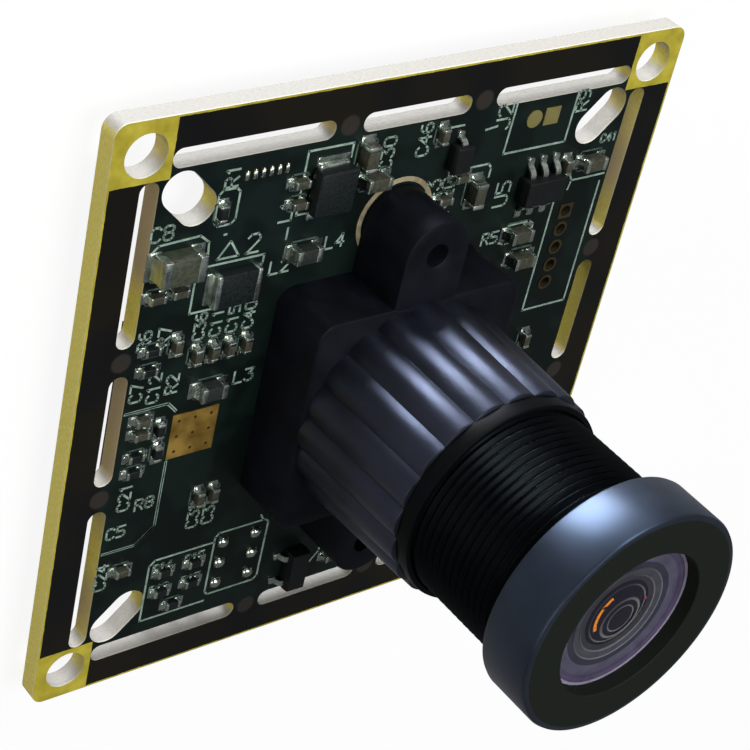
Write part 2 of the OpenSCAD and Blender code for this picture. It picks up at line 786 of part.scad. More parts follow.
board();
plated_lands();
lens_holder();
holder_screws();
image_sensor();
sensor_die();
sensor_glass();
ir_cut_filter();
lens_barrel();
front_element();
front_seal();
second_element();
lens_spacer();
aperture_stop();
third_element();
rear_spacer();
rear_element();
lens_retainer();
shielded_inductor();
power_inductor();
bulk_capacitor();
capacitors_0603();
capacitors_0402();
resistors_0402();
ferrite_beads();
regulator_ic();
switch_transistor();
clamp_diode();
image_processor();
flash_memory();
crystal();
rear_connector();
connector_contacts();
core_regulator();
rear_inductor();
rear_capacitors();
rear_resistors();
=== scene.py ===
"""A board camera module with a screw-in lens, dressed for the studio."""
from math import asin, atan2, cos, pi, radians, sin, sqrt, tan

import bmesh
import bpy
from mathutils import Matrix, Vector


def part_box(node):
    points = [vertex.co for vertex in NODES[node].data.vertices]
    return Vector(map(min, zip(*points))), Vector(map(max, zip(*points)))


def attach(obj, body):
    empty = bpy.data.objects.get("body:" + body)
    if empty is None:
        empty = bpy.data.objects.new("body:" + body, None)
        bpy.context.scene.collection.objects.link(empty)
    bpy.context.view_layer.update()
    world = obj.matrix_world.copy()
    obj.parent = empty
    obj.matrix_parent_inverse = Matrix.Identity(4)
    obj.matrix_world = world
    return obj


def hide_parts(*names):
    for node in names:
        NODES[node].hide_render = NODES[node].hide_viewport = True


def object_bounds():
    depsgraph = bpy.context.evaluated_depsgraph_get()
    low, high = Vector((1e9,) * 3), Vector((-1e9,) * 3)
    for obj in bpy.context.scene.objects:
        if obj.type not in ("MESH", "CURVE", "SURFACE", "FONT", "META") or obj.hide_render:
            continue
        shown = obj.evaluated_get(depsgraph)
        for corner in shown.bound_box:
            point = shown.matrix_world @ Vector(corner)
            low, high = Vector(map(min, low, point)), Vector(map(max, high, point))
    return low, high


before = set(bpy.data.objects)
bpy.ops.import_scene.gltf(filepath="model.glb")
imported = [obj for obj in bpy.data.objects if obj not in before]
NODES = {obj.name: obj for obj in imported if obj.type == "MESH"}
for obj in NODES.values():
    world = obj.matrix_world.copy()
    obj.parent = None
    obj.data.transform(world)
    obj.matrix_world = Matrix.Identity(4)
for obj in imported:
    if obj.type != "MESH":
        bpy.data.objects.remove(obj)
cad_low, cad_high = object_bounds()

# ---- Studio ----
# A pale paper floor lies just under the lowest parts and is clear when seen from below.  Soft
# lamps stand beyond the board's upper edge, overhead and at its left; one more, lower than the
# floor, reaches the upright sides from below, as an open table would let it.
SCENE = bpy.context.scene
SCENE.view_settings.view_transform = "Standard"
MM = 0.001


def srgb(*colour):
    """An 8-bit colour as the linear values that a socket takes."""
    channels = [c / 255 for c in colour]
    return tuple(c / 12.92 if c <= 0.04045 else ((c + 0.055) / 1.055) ** 2.4
                 for c in channels) + (1,)


def operator(operation):
    return lambda value, other: value.network.math(operation, value, other)


class Field:
    """A value in a tree of nodes, for use with plain operators."""
    __add__, __sub__, __mul__ = operator("ADD"), operator("SUBTRACT"), operator("MULTIPLY")
    __lt__, __gt__ = operator("LESS_THAN"), operator("GREATER_THAN")

    def __init__(self, network, socket):
        self.network, self.socket = network, socket

    def __abs__(self):
        return self.network.math("ABSOLUTE", self)


class Network:
    """A tree of nodes, with short ways to add to it."""
    family = "ShaderNode"

    def __init__(self, tree):
        self.tree = tree

    def join(self, value, socket):
        """Links or sets a socket; a colour of three numbers has 8 bits each."""
        if isinstance(value, Field):
            self.tree.links.new(value.socket, socket)
        elif socket.type == "RGBA" and len(value) == 3:
            socket.default_value = srgb(*value)
        else:
            socket.default_value = value

    def node(self, kind, inputs=(), **settings):
        node = self.tree.nodes.new(kind if "Node" in kind else self.family + kind)
        for name, value in settings.items():
            setattr(node, name, value)
        for key, value in dict(inputs).items():
            self.join(value, node.inputs[key])
        return node

    def field(self, kind, inputs=(), output=0, **settings):
        return Field(self, self.node(kind, inputs, **settings).outputs[output])

    def math(self, operation, *values):
        return self.field("ShaderNodeMath", dict(enumerate(values)), operation=operation)

    def axes(self, vector):
        parts = self.node("SeparateXYZ", {0: vector}).outputs
        return [Field(self, part) for part in parts]

    def span(self, x, y):
        return self.math("SQRT", x * x + y * y)

    def step(self, value, low, high, bottom=0.0, top=1.0):
        return self.field("MapRange", {0: value, 1: low, 2: high, 3: bottom, 4: top})

    def seen(self, mirrored):
        """1 to rays that look straight or through glass, and less in mirrors."""
        camera, glass, glossy = [self.field("LightPath", output=f"Is {ray} Ray")
                                 for ray in ("Camera", "Transmission", "Glossy")]
        return self.math("MAXIMUM", self.math("MAXIMUM", camera, glass), glossy * mirrored)

    def mix(self, share, first, second):
        return self.field("MixShader", {0: share, 1: first, 2: second})


class Finish(Network):
    """A procedural material on Object coordinates; grains and depths are in millimetres."""

    def __init__(self, name, specular=0.5, **sockets):
        self.material = bpy.data.materials.new(name)
        self.material.use_nodes = True
        super().__init__(self.material.node_tree)
        self.surface = self.tree.nodes["Principled BSDF"]
        self.here = self.field("TexCoord", output="Object")
        self.set(Specular_IOR_Level=specular, **sockets)

    def place(self):
        """The three parts of the place, in millimetres."""
        return [axis * (1 / MM) for axis in self.axes(self.here)]

    def set(self, **sockets):
        for name, value in sockets.items():
            self.join(value, self.surface.inputs[name.replace("_", " ")])

    def noise(self, size, detail=3.0, stretch=None):
        here = self.here
        if stretch:
            here = self.field("Mapping", {"Vector": here, "Scale": stretch})
        return self.field("TexNoise", {"Vector": here, "Scale": 1 / (size * MM),
                                       "Detail": detail})

    def mottle(self, size, low=0.3, high=0.7, **noise):
        return self.step(self.noise(size, **noise), low, high)

    def blend(self, factor, first, second):
        return self.field("Mix", {0: factor, 6: first, 7: second}, 2, data_type="RGBA")

    def bump(self, height, depth):
        self.set(Normal=self.field("Bump", {"Height": height, "Distance": depth * MM}))

    def grain(self, size, colour, other, gloss, relief):
        """Mottles between two colours and two roughnesses, over a fine relief."""
        clear = self.mottle(size)
        self.set(Base_Color=self.blend(clear, colour, other),
                 Roughness=self.step(clear, 0, 1, *gloss))
        if relief:
            self.bump(self.noise(size * 0.4), relief)
        return self


ground = cad_low.z - 0.02 * MM
floor_mesh = bpy.data.meshes.new("floor")
floor_mesh.from_pydata([(x, y, ground) for x, y in ((-1, -1), (1, -1), (1, 1), (-1, 1))],
                       [], [(0, 1, 2, 3)])
floor = bpy.data.objects.new("floor", floor_mesh)
floor.visible_shadow = False
SCENE.collection.objects.link(floor)
paper = Finish("pale_paper", 0.1, Roughness=0.9)
paper.set(Base_Color=paper.blend(
    paper.field("LightPath", output="Is Glossy Ray"),
    paper.blend(paper.mottle(0.8), (0.80, 0.80, 0.80, 1), (0.83, 0.83, 0.83, 1)),
    (0.2, 0.2, 0.21, 1)))
veil = paper.mix(paper.seen(0.07) * 0.9, Field(paper, paper.surface.outputs[0]),
                 paper.field("Emission", {"Color": (1, 1, 1, 1)}))
paper.join(paper.mix(paper.field("NewGeometry", output="Backfacing"), veil,
                     paper.field("BsdfTransparent")),
           paper.tree.nodes["Material Output"].inputs[0])
floor_mesh.materials.append(paper.material)

world = bpy.data.worlds.new("studio")
world.use_nodes = True
SCENE.world = world
sky = Network(world.node_tree)
air = sky.field("Background", {"Color": (0.88, 0.94, 1, 1), "Strength": 0.1})
plain = sky.field("Background", {"Color": (1, 1, 1, 1)})
sky.join(sky.mix(sky.seen(0.05), air, plain), sky.tree.nodes["World Output"].inputs[0])


def lamp(name, azimuth, elevation, distance, size, power, tint=(1, 1, 1)):
    """A square soft lamp round the module, turned towards it.  Azimuth runs from +X to +Y."""
    data = bpy.data.lights.new(name, "AREA")
    data.shape, data.size, data.energy, data.color = "SQUARE", size, power, tint
    a, e = radians(azimuth), radians(elevation)
    side = Vector((cos(a) * cos(e), sin(a) * cos(e), sin(e)))
    lamp_object = bpy.data.objects.new(name, data)
    lamp_object.location = side * distance
    lamp_object.rotation_euler = (-side).to_track_quat("-Z", "Y").to_euler()
    SCENE.collection.objects.link(lamp_object)
    return data


lamp("key_lamp", 82, 22, 0.26, 0.10, 0.3, (0.93, 0.96, 1))
lamp("overhead_lamp", 80, 72, 0.35, 0.22, 1.15)
lamp("side_lamp", 178, 30, 0.40, 0.20, 0.45, (1, 0.97, 0.90))
low_lamp = lamp("lamp_under_the_table", 84, -37, 0.20, 0.12, 1.0, (0.86, 0.91, 1))
low_lamp.cycles.use_multiple_importance_sampling = False

camera_data = bpy.data.cameras.new("camera")
camera_data.lens = 103.55
camera_data.shift_x, camera_data.shift_y = 0.065, 0.060
camera_data.clip_start, camera_data.clip_end = 0.005, 10
camera = bpy.data.objects.new("camera", camera_data)
camera.location = Vector((-70.76, 68.83, 74.17)) * MM
camera.rotation_euler = [radians(turn) for turn in (-43.98, -35.04, 13.05)]
SCENE.collection.objects.link(camera)
SCENE.camera = camera

# ---- Board ----
# A glass-epoxy panel with a near-black solder mask on both faces.  The corners and the cut
# sides show the bare yellowish laminate, with the sides that face ±Y greyed by painted cool
# light; the break-off frame is masked up to its edge, and each tab that joins it to the board
# has a faint round spot of thin mask.
BOARD_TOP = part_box("board")[1].z / MM
HALF = cad_high.x / MM
TAB_IN = HALF - 2.5
MASK_IN, CORNER_IN, SLOT_IN = HALF - 0.12, HALF - 3.6, HALF - 0.2
TAB_X = 4.55
HEADER_X, HEADER_Y = 13.35, 5.3
panel = Finish("masked_laminate", 0.16)
x, y, z = panel.place()
furthest = panel.math("MAXIMUM", abs(x), abs(y))
nearest = panel.math("MINIMUM", abs(x), abs(y))
_, facing_y, facing_z = panel.axes(panel.field("NewGeometry", output="Normal"))
flat = abs(facing_z) > 0.5
waver = panel.step(panel.noise(0.5), 0, 1, -0.04, 0.04)
masked = flat * (furthest + waver < MASK_IN) * (nearest + waver < CORNER_IN)
bare = panel.blend(panel.mottle(1.2), (138, 126, 34), (172, 160, 56))
sawn = panel.mottle(0.25, stretch=(1, 1, 6))
side_x = panel.blend(sawn, (170, 156, 66), (196, 184, 100))
slot_wall = (furthest < SLOT_IN) * panel.mottle(7.0, 0.42, 0.6, detail=1.0)
side_x = panel.blend(slot_wall, side_x, (160, 144, 112))
# The sides facing ±Y are greyer than the others: painted cool light, not a different laminate.
side_y_painted_cool_light = panel.blend(sawn, (134, 130, 122), (152, 147, 138))
cut = panel.blend(panel.step(abs(facing_y), 0.25, 0.65), side_x, side_y_painted_cool_light)
cut = panel.blend((z > BOARD_TOP - 0.1) * 0.4, cut, (190, 186, 166))
# The walls of the header's holes are dark brown: painted shade inside the holes.
header_hole_painted_shade = (abs(x - HEADER_X) < 0.5) * (abs(y - HEADER_Y) < 2.9)
cut = panel.blend(header_hole_painted_shade, cut, (46, 38, 26))
inner_mask = panel.blend(panel.mottle(2.6, 0.44, 0.56, detail=1.0), (8, 16, 14),
                            (13, 24, 21))
strip_mask = panel.blend(panel.mottle(6.0, 0.4, 0.6, detail=1.0), (13, 13, 14),
                            (20, 18, 12))
mask_colour = panel.blend(furthest > TAB_IN, inner_mask, strip_mask)
spot = panel.step(panel.span(nearest - TAB_X, furthest - TAB_IN - 0.05),
                     0.66, 0.52)
mask_colour = panel.blend(spot * 0.8, mask_colour, (46, 42, 38))
panel.set(Base_Color=panel.blend(masked, panel.blend(flat, cut, bare), mask_colour),
             Roughness=panel.step(masked, 0, 1, 0.62, 0.36))
panel.bump(masked * 1.6 + panel.noise(0.15) * 0.35, 0.02)


def dress(node, finish):
    """Gives a CAD node its finish."""
    NODES[node].data.materials.clear()
    NODES[node].data.materials.append(finish.material)


dress("board", panel)

# ---- Printed legend ----
# White-green ink screened on the mask: outlines round the parts, a polarity triangle and short
# reference designators.  Each stroke is a thin flat ribbon laid along its line.
INK_T = 0.02
GLYPHS = {
    "C": (((4, 5), (3, 6), (1, 6), (0, 5), (0, 1), (1, 0), (3, 0), (4, 1)),),
    "R": (((0, 0), (0, 6), (3, 6), (4, 5), (4, 4), (3, 3), (0, 3)), ((2, 3), (4, 0))),
    "L": (((0, 6), (0, 0), (4, 0)),),
    "U": (((0, 6), (0, 1), (1, 0), (3, 0), (4, 1), (4, 6)),),
    "J": (((4, 6), (4, 1), (3, 0), (1, 0), (0, 1)),),
    "0": (((1, 0), (0, 1), (0, 5), (1, 6), (3, 6), (4, 5), (4, 1), (3, 0), (1, 0)),),
    "1": (((1, 5), (2, 6), (2, 0)),),
    "2": (((0, 5), (1, 6), (3, 6), (4, 5), (4, 4), (0, 0), (4, 0)),),
    "3": (((0, 6), (4, 6), (2, 3.6), (3.3, 3.4), (4, 2.4), (4, 1), (3, 0), (1, 0), (0, 1)),),
    "4": (((3, 0), (3, 6), (0, 2), (4, 2)),),
    "5": (((4, 6), (0, 6), (0, 3.4), (3, 3.4), (4, 2.4), (4, 1), (3, 0), (0, 0)),),
    "6": (((3.5, 6), (1.5, 6), (0, 4), (0, 1), (1, 0), (3, 0), (4, 1), (4, 2.5), (3, 3.4),
           (0, 3.2)),),
    "7": (((0, 6), (4, 6), (1.5, 0)),),
    "8": (((1, 3.2), (0, 4.2), (0, 5.2), (1, 6), (3, 6), (4, 5.2), (4, 4.2), (3, 3.2), (1, 3.2),
           (0, 2.2), (0, 1), (1, 0), (3, 0), (4, 1), (4, 2.2), (3, 3.2)),),
    "9": (((0.5, 0), (2.5, 0), (4, 2), (4, 5), (3, 6), (1, 6), (0, 5), (0, 3.8), (1, 2.8),
           (4, 3)),),
}
legend, faint_legend = [], []


def stroke(*points, lines=legend):
    lines.extend(zip(points, points[1:]))


def set_down(points, x, y, turn):
    """Flat points turned about the origin, then moved to a place."""
    c, s = cos(turn), sin(turn)
    return [(x + u * c - v * s, y + u * s + v * c) for u, v in points]


def mark(word, x, y, turn, high):
    """A designator centred on a point."""
    unit, step = high / 6, high * 0.9
    start = -(len(word) - 1) * step / 2 - 2 * unit
    for i, letter in enumerate(word):
        for line in GLYPHS[letter]:
            drawn = [(start + i * step + u * unit, (v - 3) * unit) for u, v in line]
            stroke(*set_down(drawn, x, y, radians(turn)))


def frame_line(x0, y0, x1, y1, c):
    """A rectangle with its corners cut by a small slant."""
    stroke((x0 + c, y0), (x1 - c, y0), (x1, y0 + c), (x1, y1 - c), (x1 - c, y1), (x0 + c, y1),
           (x0, y1 - c), (x0, y0 + c), (x0 + c, y0))


frame_line(-12.2, 11.95, -10.9, 14.1, 0.25)
frame_line(-7.95, -14.55, -4.2, -9.85, 0.25)
for path in (
        ((-11.42, 11.35), (-11.28, 11.35)), ((-5.2, 11.6), (-4.6, 11.6)),
        ((-6.95, 11.6), (-6.95, 15.45), (-4.05, 15.45), (-4.05, 14.6)),
        ((-6.95, 11.6), (-5.9, 11.6)), ((-7.3, 10.2), (-7.3, 10.9)),
        ((-15.7, 9.65), (-15.85, 10.2), (-15.8, 11.1), (-15.4, 11.5), (-12.9, 11.6),
         (-12.3, 11.1), (-12.2, 9.9)),
        ((-15.7, 9.65), (-15.5, 9.35), (-15.1, 9.3)),
        ((-11.6, 9.85), (-10.9, 10.85), (-10.25, 9.85), (-11.6, 9.85)),
        ((-12.4, 9.55), (-8.55, 9.55), (-8.55, 7.6)),
        ((-12.75, 9.3), (-12.75, 6.75), (-10.9, 6.75)),
        ((-7.95, -10.45), (-12.0, -10.45), (-12.35, -10.8), (-12.35, -15.0), (-7.9, -15.0)),
        ((-4.6, -9.85), (-4.85, -9.4)), ((5.2, 14.6), (6.0, 14.7)), ((2.3, 15.2), (3.5, 15.2)),
        ((-0.1, -11.1), (0.35, -11.1), (0.35, -13.9), (-0.2, -14.6)),
        ((7.1, 15.95), (7.0, 12.75), (11.6, 12.75), (11.65, 15.95)),
        ((12.5, 11.0), (13.1, 9.9), (13.0, 9.3)), ((13.2, 9.9), (15.7, 9.9)),
        ((12.15, 9.4), (12.15, 1.0), (15.5, 1.0), (15.5, 9.4)),
        ((8.55, 6.55), (9.0, 6.4), (10.6, 6.4), (10.95, 6.7), (10.95, 7.4), (10.6, 7.65),
         (8.9, 7.65)),
        ((9.3, 4.9), (10.9, 4.6), (11.0, 5.4), (10.7, 5.6)),
        ((4.3, 12.3), (6.1, 12.3), (6.35, 12.0), (6.35, 11.4))):
    stroke(*path)
for line in (((-15.8, 1.0), (-13.1, 1.0), (-12.5, 0.35)),
             ((-12.55, -3.15), (-12.55, -7.7), (-13.7, -8.75), (-15.8, -8.75))):
    stroke(*line)
    stroke(*[(x + 0.05, y + 0.04) for x, y in line])
for turn, high, words in (
        (90, 1.0, (("J2", 6.35, 15.2), ("U5", 7.75, 10.0))),
        (90, 0.95, (("C43", 2.35, 10.75), ("R20", 3.45, 10.75))),
        (90, 0.85, (("R9", 12.2, 15.3),)),
        (90, 0.8, (("R1", -11.55, 14.85), ("L1", -7.65, 12.0), ("C30", -1.55, 14.35),
                   ("C46", 0.85, 14.75))),
        (90, 0.75, (("R6", -15.3, 5.65), ("R7", -14.1, 5.65), ("C7", -15.3, 2.3),
                    ("C12", -14.2, 2.3), ("R2", -13.05, 2.3), ("C21", -14.9, -4.9),
                    ("C32", -9.9, -7.75), ("C33", -8.85, -7.75), ("C24", -15.6, -10.5))),
        (90, 0.68, (("C36", -11.9, 5.75), ("C11", -10.85, 5.75), ("C15", -9.8, 5.75),
                    ("C40", -8.75, 5.75))),
        (0, 1.15, (("2", -9.4, 10.4),)),
        (0, 0.85, (("C8", -15.3, 12.2),)),
        (0, 0.8, (("L2", -7.35, 8.5), ("L4", -3.9, 9.35), ("L3", -8.3, 1.6))),
        (0, 0.75, (("R8", -13.5, -5.75), ("C5", -15.1, -7.35), ("R5", 7.75, 7.05))),
        (0, 0.5, (("R12", -11.4, -12.75), ("R13", -9.2, -12.75), ("R14", -11.4, -11.1),
                  ("R15", -9.2, -11.1), ("C41", 15.2, 12.4)))):
    for word, x, y in words:
        mark(word, x, y, turn, high)


def outline_chips(node, gap):
    """Fine three-sided outlines beside the chips of a CAD node."""
    for centre, turn, low, high in solids_of(node):
        if centre.z < 0:
            continue
        long, short = sorted((high - low).xy, reverse=True)
        length, width = long / 2 + 0.12, short / 2 + gap
        for side in (-width, width):
            path = ((-length, side * 0.4), (-length + 0.15, side), (length - 0.15, side),
                    (length, side * 0.4))
            stroke(*set_down(path, centre.x, centre.y, turn), lines=faint_legend)


def solids_of(node):
    """The separate solids of a CAD node: (centre, turn, low, high) in millimetres, radians."""
    shape = bmesh.new()
    shape.from_mesh(NODES[node].data)
    bmesh.ops.remove_doubles(shape, verts=shape.verts, dist=1e-7)
    left, found = dict.fromkeys(shape.verts), []
    while left:
        edge, group = [left.popitem()[0]], []
        while edge:
            vert = edge.pop()
            group.append(vert.co / MM)
            for link in vert.link_edges:
                other = link.other_vert(vert)
                if other in left:
                    del left[other]
                    edge.append(other)
        low, high = Vector(map(min, *group)), Vector(map(max, *group))
        centre = (low + high) / 2
        spread = [point - centre for point in group]
        across = sum(p.x * p.x - p.y * p.y for p in spread)
        slant = sum(2 * p.x * p.y for p in spread)
        found.append((centre, atan2(slant, across) / 2, low, high))
    shape.free()
    return sorted(found, key=lambda solid: (round(solid[0].x, 2), round(solid[0].y, 2)))


class Growth(Network):
    """A tree of Geometry Nodes with named inputs."""
    family = "GeometryNode"

    def __init__(self, name, **inputs):
        super().__init__(bpy.data.node_groups.new(name, "GeometryNodeTree"))
        faces = self.tree.interface
        for label, kind in {**inputs, "Finish": "Material"}.items():
            faces.new_socket(label.replace("_", " "), in_out="INPUT",
                             socket_type="NodeSocket" + kind)
        faces.new_socket("Made", in_out="OUTPUT", socket_type="NodeSocketGeometry")
        self.given = {socket.name: Field(self, socket)
                      for socket in self.node("NodeGroupInput").outputs}

    def close(self, made):
        """Ends the tree in plain geometry that has its material."""
        real = self.field("RealizeInstances", {0: made})
        painted = self.field("SetMaterial", {0: real, "Material": self.given["Finish"]})
        self.node("NodeGroupOutput", {0: painted})

    def swept(self, curve, width, height, turn=0):
        """A curve with its normals upright, as a bar of a rectangular section."""
        upright = self.field("SetCurveNormal", {"Curve": curve}, mode="Z_UP")
        section = self.field("CurvePrimitiveQuadrilateral", {"Width": width, "Height": height},
                             mode="RECTANGLE")
        section = self.field("Transform", {"Geometry": section, "Rotation": (0, 0, turn)})
        return self.field("CurveToMesh", {"Curve": upright, "Profile Curve": section,
                                          "Fill Caps": True})

    def grown(self, name, mesh, finish, **sizes):
        """The plain mesh that the tree makes from a mesh, whose object is then removed."""
        carrier = bpy.data.objects.new(name, mesh)
        SCENE.collection.objects.link(carrier)
        modifier = carrier.modifiers.new("grow", "NODES")
        modifier.node_group = self.tree
        sockets = {item.name: item.identifier for item in self.tree.interface.items_tree}
        for label, value in {**sizes, "Finish": finish.material}.items():
            modifier[sockets[label.replace("_", " ")]] = value
        graph = bpy.context.evaluated_depsgraph_get()
        made = bpy.data.meshes.new_from_object(carrier.evaluated_get(graph))
        bpy.data.objects.remove(carrier)
        return made


class Piece:
    """A piece under construction, in millimetres: closed shells, each in a finish."""

    def __init__(self, name):
        self.name = name
        self.shape = bmesh.new()
        self.finishes = []

    def index(self, finish):
        if finish not in self.finishes:
            self.finishes.append(finish)
        return self.finishes.index(finish)

    def shell(self, corners, faces, finish, at=None):
        made = [self.shape.verts.new((at or Matrix()) @ Vector(corner)) for corner in corners]
        for face in faces:
            self.shape.faces.new([made[i] for i in face]).material_index = self.index(finish)

    def stack(self, rings, finish, at=None, closed=False):
        """Skins rings of equally many points, from the lowest up, then caps or joins the ends."""
        count, total = len(rings[0]), len(rings[0]) * len(rings)
        top = total - count
        corners = [corner for ring in rings for corner in ring]
        faces = []
        for low in range(0, total if closed else top, count):
            for i in range(count):
                j = (i + 1) % count
                faces.append([(low + k) % total for k in (i, j, count + j, count + i)])
        if not closed:
            faces += [range(count)[::-1], range(top, total)]
        self.shell(corners, faces, finish, at)

    def rise(self, outline, levels, finish, at=None):
        """Skins an upright outline, moved inwards by an inset at each (height, inset)."""
        self.stack([[(*point, z) for point in (shrunk(outline, inset) if inset else outline)]
                    for z, inset in levels], finish, at)

    def slab(self, size, low, high, finish, edge=0.05, lower_edge=0.0, draft=0.0, at=None):
        """A box of (width, length, corner radius) with its rims rounded at the top or at both."""
        levels = []
        if lower_edge:
            levels += [(low, lower_edge), (low + lower_edge * 0.3, lower_edge * 0.3)]
        levels += [(low + lower_edge, 0.0), (high - edge, draft),
                   (high - edge * 0.3, draft + edge * 0.3), (high, draft + edge)]
        self.rise(rounded(*size), levels, finish, at)

    def lathe(self, profile, finish, steps=96, at=None):
        """Turns a closed profile of (radius, height) points round the upright axis."""
        turns = [2 * pi * i / steps for i in range(steps)]
        corners = [(r * cos(turn), r * sin(turn), z) for turn in turns
                   for r, z in profile]
        count, faces = len(profile), []
        for i in range(steps):
            this, next_one = i * count, (i + 1) % steps * count
            for k in range(count):
                m = (k + 1) % count
                if max(profile[k][0], profile[m][0]) > 0:
                    faces.append((this + k, next_one + k, next_one + m, this + m))
        self.shell(corners, faces, finish, at)

    def add(self, mesh, finish):
        """Takes in a mesh that is already in metres."""
        mesh.transform(Matrix.Scale(1 / MM, 4))
        before = len(self.shape.faces)
        self.shape.from_mesh(mesh)
        self.shape.faces.ensure_lookup_table()
        for face in self.shape.faces[before:]:
            face.material_index = self.index(finish)
        bpy.data.meshes.remove(mesh)

    def made(self, crease=35):
        """The object, with merged poles and creases where its faces meet sharply."""
        bmesh.ops.remove_doubles(self.shape, verts=self.shape.verts, dist=1e-4)
        bmesh.ops.recalc_face_normals(self.shape, faces=self.shape.faces)
        mesh = bpy.data.meshes.new(self.name)
        self.shape.to_mesh(mesh)
        self.shape.free()
        mesh.transform(Matrix.Scale(MM, 4))
        for finish in self.finishes:
            mesh.materials.append(finish.material)
        mesh.set_sharp_from_angle(angle=radians(crease))
        made = bpy.data.objects.new(self.name, mesh)
        SCENE.collection.objects.link(made)
        return made

    def stand(self, slot, *replaced, body="module"):
        made = self.made()
        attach(made, body)
        if replaced:
            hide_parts(*replaced)


for node, gap in (("capacitors_0402", 0.22), ("capacitors_0603", 0.25), ("resistors_0402", 0.2),
                  ("ferrite_beads", 0.2)):
    outline_chips(node, gap)
STROKES = Growth("printed_strokes", Lines="Geometry", Stroke_width="Float",
                 Ink_thickness="Float")
STROKES.close(STROKES.swept(STROKES.field("MeshToCurve", {"Mesh": STROKES.given["Lines"]}),
                            STROKES.given["Stroke width"], STROKES.given["Ink thickness"]))
printed = Piece("printed_legend")
ink = Finish("legend_ink", 0.3).grain(
    0.5, (100, 120, 110), (142, 162, 150), (0.5, 0.65), 0.003)
worn_ink = Finish("worn_ink", 0.3).grain(
    0.4, (40, 52, 48), (70, 86, 78), (0.5, 0.65), 0.003)
for lines, made, width in ((legend, ink, 0.125), (faint_legend, worn_ink, 0.1)):
    corners = []
    for first, second in lines:
        first, second = Vector(first), Vector(second)
        reach = (second - first).normalized() * width * 0.35
        corners += [first - reach, second + reach]
    height = BOARD_TOP + INK_T / 2 - 0.001
    ends = bpy.data.meshes.new("lines")
    ends.from_pydata([(p.x * MM, p.y * MM, height * MM) for p in corners],
                     [(i, i + 1) for i in range(0, len(corners), 2)], [])
    printed.add(STROKES.grown("lines", ends, made, Stroke_width=width * MM,
                              Ink_thickness=INK_T * MM), made)
printed.stand("circuit_board")


# ---- Solder, lands and chips ----
# Ceramic and film chips set by machine and soldered at both ends.  Each end sits in a hollow
# fillet of bright solder on a tinned land a little wider than the chip.
REPEAT = Growth("repeat_at_places", Places="Geometry", Part="Object", Part_size="Float")
REPEAT.close(REPEAT.field("InstanceOnPoints", {
    "Points": REPEAT.given["Places"], "Scale": REPEAT.given["Part size"],
    "Instance": REPEAT.field("ObjectInfo", {"Object": REPEAT.given["Part"]}, "Geometry"),
    "Rotation": REPEAT.field("FunctionNodeEulerToRotation", {0: REPEAT.field(
        "InputNamedAttribute", {"Name": "turn"}, "Attribute", data_type="FLOAT_VECTOR")})}))


def set_out(piece, part, places):
    """Adds part, a Piece of one finish, at each (x, y, z, turn about X, turn about Z)."""
    finish, shape = part.finishes[0], part.made()
    points = bpy.data.meshes.new("places")
    points.from_pydata([Vector(place[:3]) * MM for place in places], [], [])
    turns = points.attributes.new("turn", "FLOAT_VECTOR", "POINT")
    for row, place in zip(turns.data, places):
        row.vector = (place[3], 0, place[4])
    piece.add(REPEAT.grown("places", points, finish, Part=shape, Part_size=1.0), finish)
    bpy.data.objects.remove(shape)


def spot_on(x, y, front=True, turn=0):
    """A place on the board's front or behind, for set_out."""
    return (x, y, BOARD_TOP, 0, turn) if front else (x, y, 0.0, pi, turn)


def shift(x, y, z=0.0):
    return Matrix.Translation((x, y, z))


def seat(node, front=True):
    """Where a part stands on the board, from the middle of its CAD node's box."""
    low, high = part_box(node)
    x, y, z, over, _ = spot_on(*((low + high) / 2 / MM).xy, front)
    return shift(x, y, z) @ Matrix.Rotation(over, 4, "X")


def rounded(width, length, radius, steps=5):
    """A rectangle with round corners, anticlockwise about its centre."""
    points = []
    for quarter, (across, along) in enumerate(((1, 1), (-1, 1), (-1, -1), (1, -1))):
        for i in range(steps + 1):
            turn = radians(90 * quarter + 90 * i / steps)
            points.append((across * (width / 2 - radius) + radius * cos(turn),
                           along * (length / 2 - radius) + radius * sin(turn)))
    return points


def shrunk(outline, inset):
    """The outline moved inwards along its corners' bisectors."""
    moved = []
    for i, point in enumerate(outline):
        before, here, after = (Vector(outline[j]) for j in (i - 1, i, (i + 1) % len(outline)))
        first, second = (here - before).normalized(), (after - here).normalized()
        inward = Vector((-first.y - second.y, first.x + second.x)).normalized()
        spread = max(0.35, inward.dot(Vector((-first.y, first.x))))
        moved.append(here + inward * inset / spread)
    return moved


tin = Finish("tinned_metal", Metallic=1.0).grain(
    0.6, (176, 186, 176), (214, 222, 210), (0.24, 0.34), 0.002)
solder = Finish("solder", Metallic=1.0).grain(
    0.5, (168, 178, 170), (212, 220, 208), (0.16, 0.26), 0.002)
tan_ceramic = Finish("tan_ceramic", 0.3).grain(
    0.2, (44, 46, 38), (66, 64, 52), (0.36, 0.55), 0.004)
film_glaze = Finish("film_resistor_glaze", 0.3).grain(
    0.1, (10, 14, 14), (20, 24, 24), (0.28, 0.45), 0.003)
dark_ferrite = Finish("dark_ferrite", 0.25).grain(
    0.12, (22, 27, 25), (38, 44, 40), (0.45, 0.65), 0.005)
# Length, width, height and metal end of each size of chip
SIZE_0402 = (1.0, 0.5, 0.5, 0.22)
SIZE_0603 = (1.6, 0.8, 0.8, 0.3)
FILM_0402 = (1.0, 0.5, 0.35, 0.2)
BEAD = (1.7, 0.9, 0.8, 0.4)


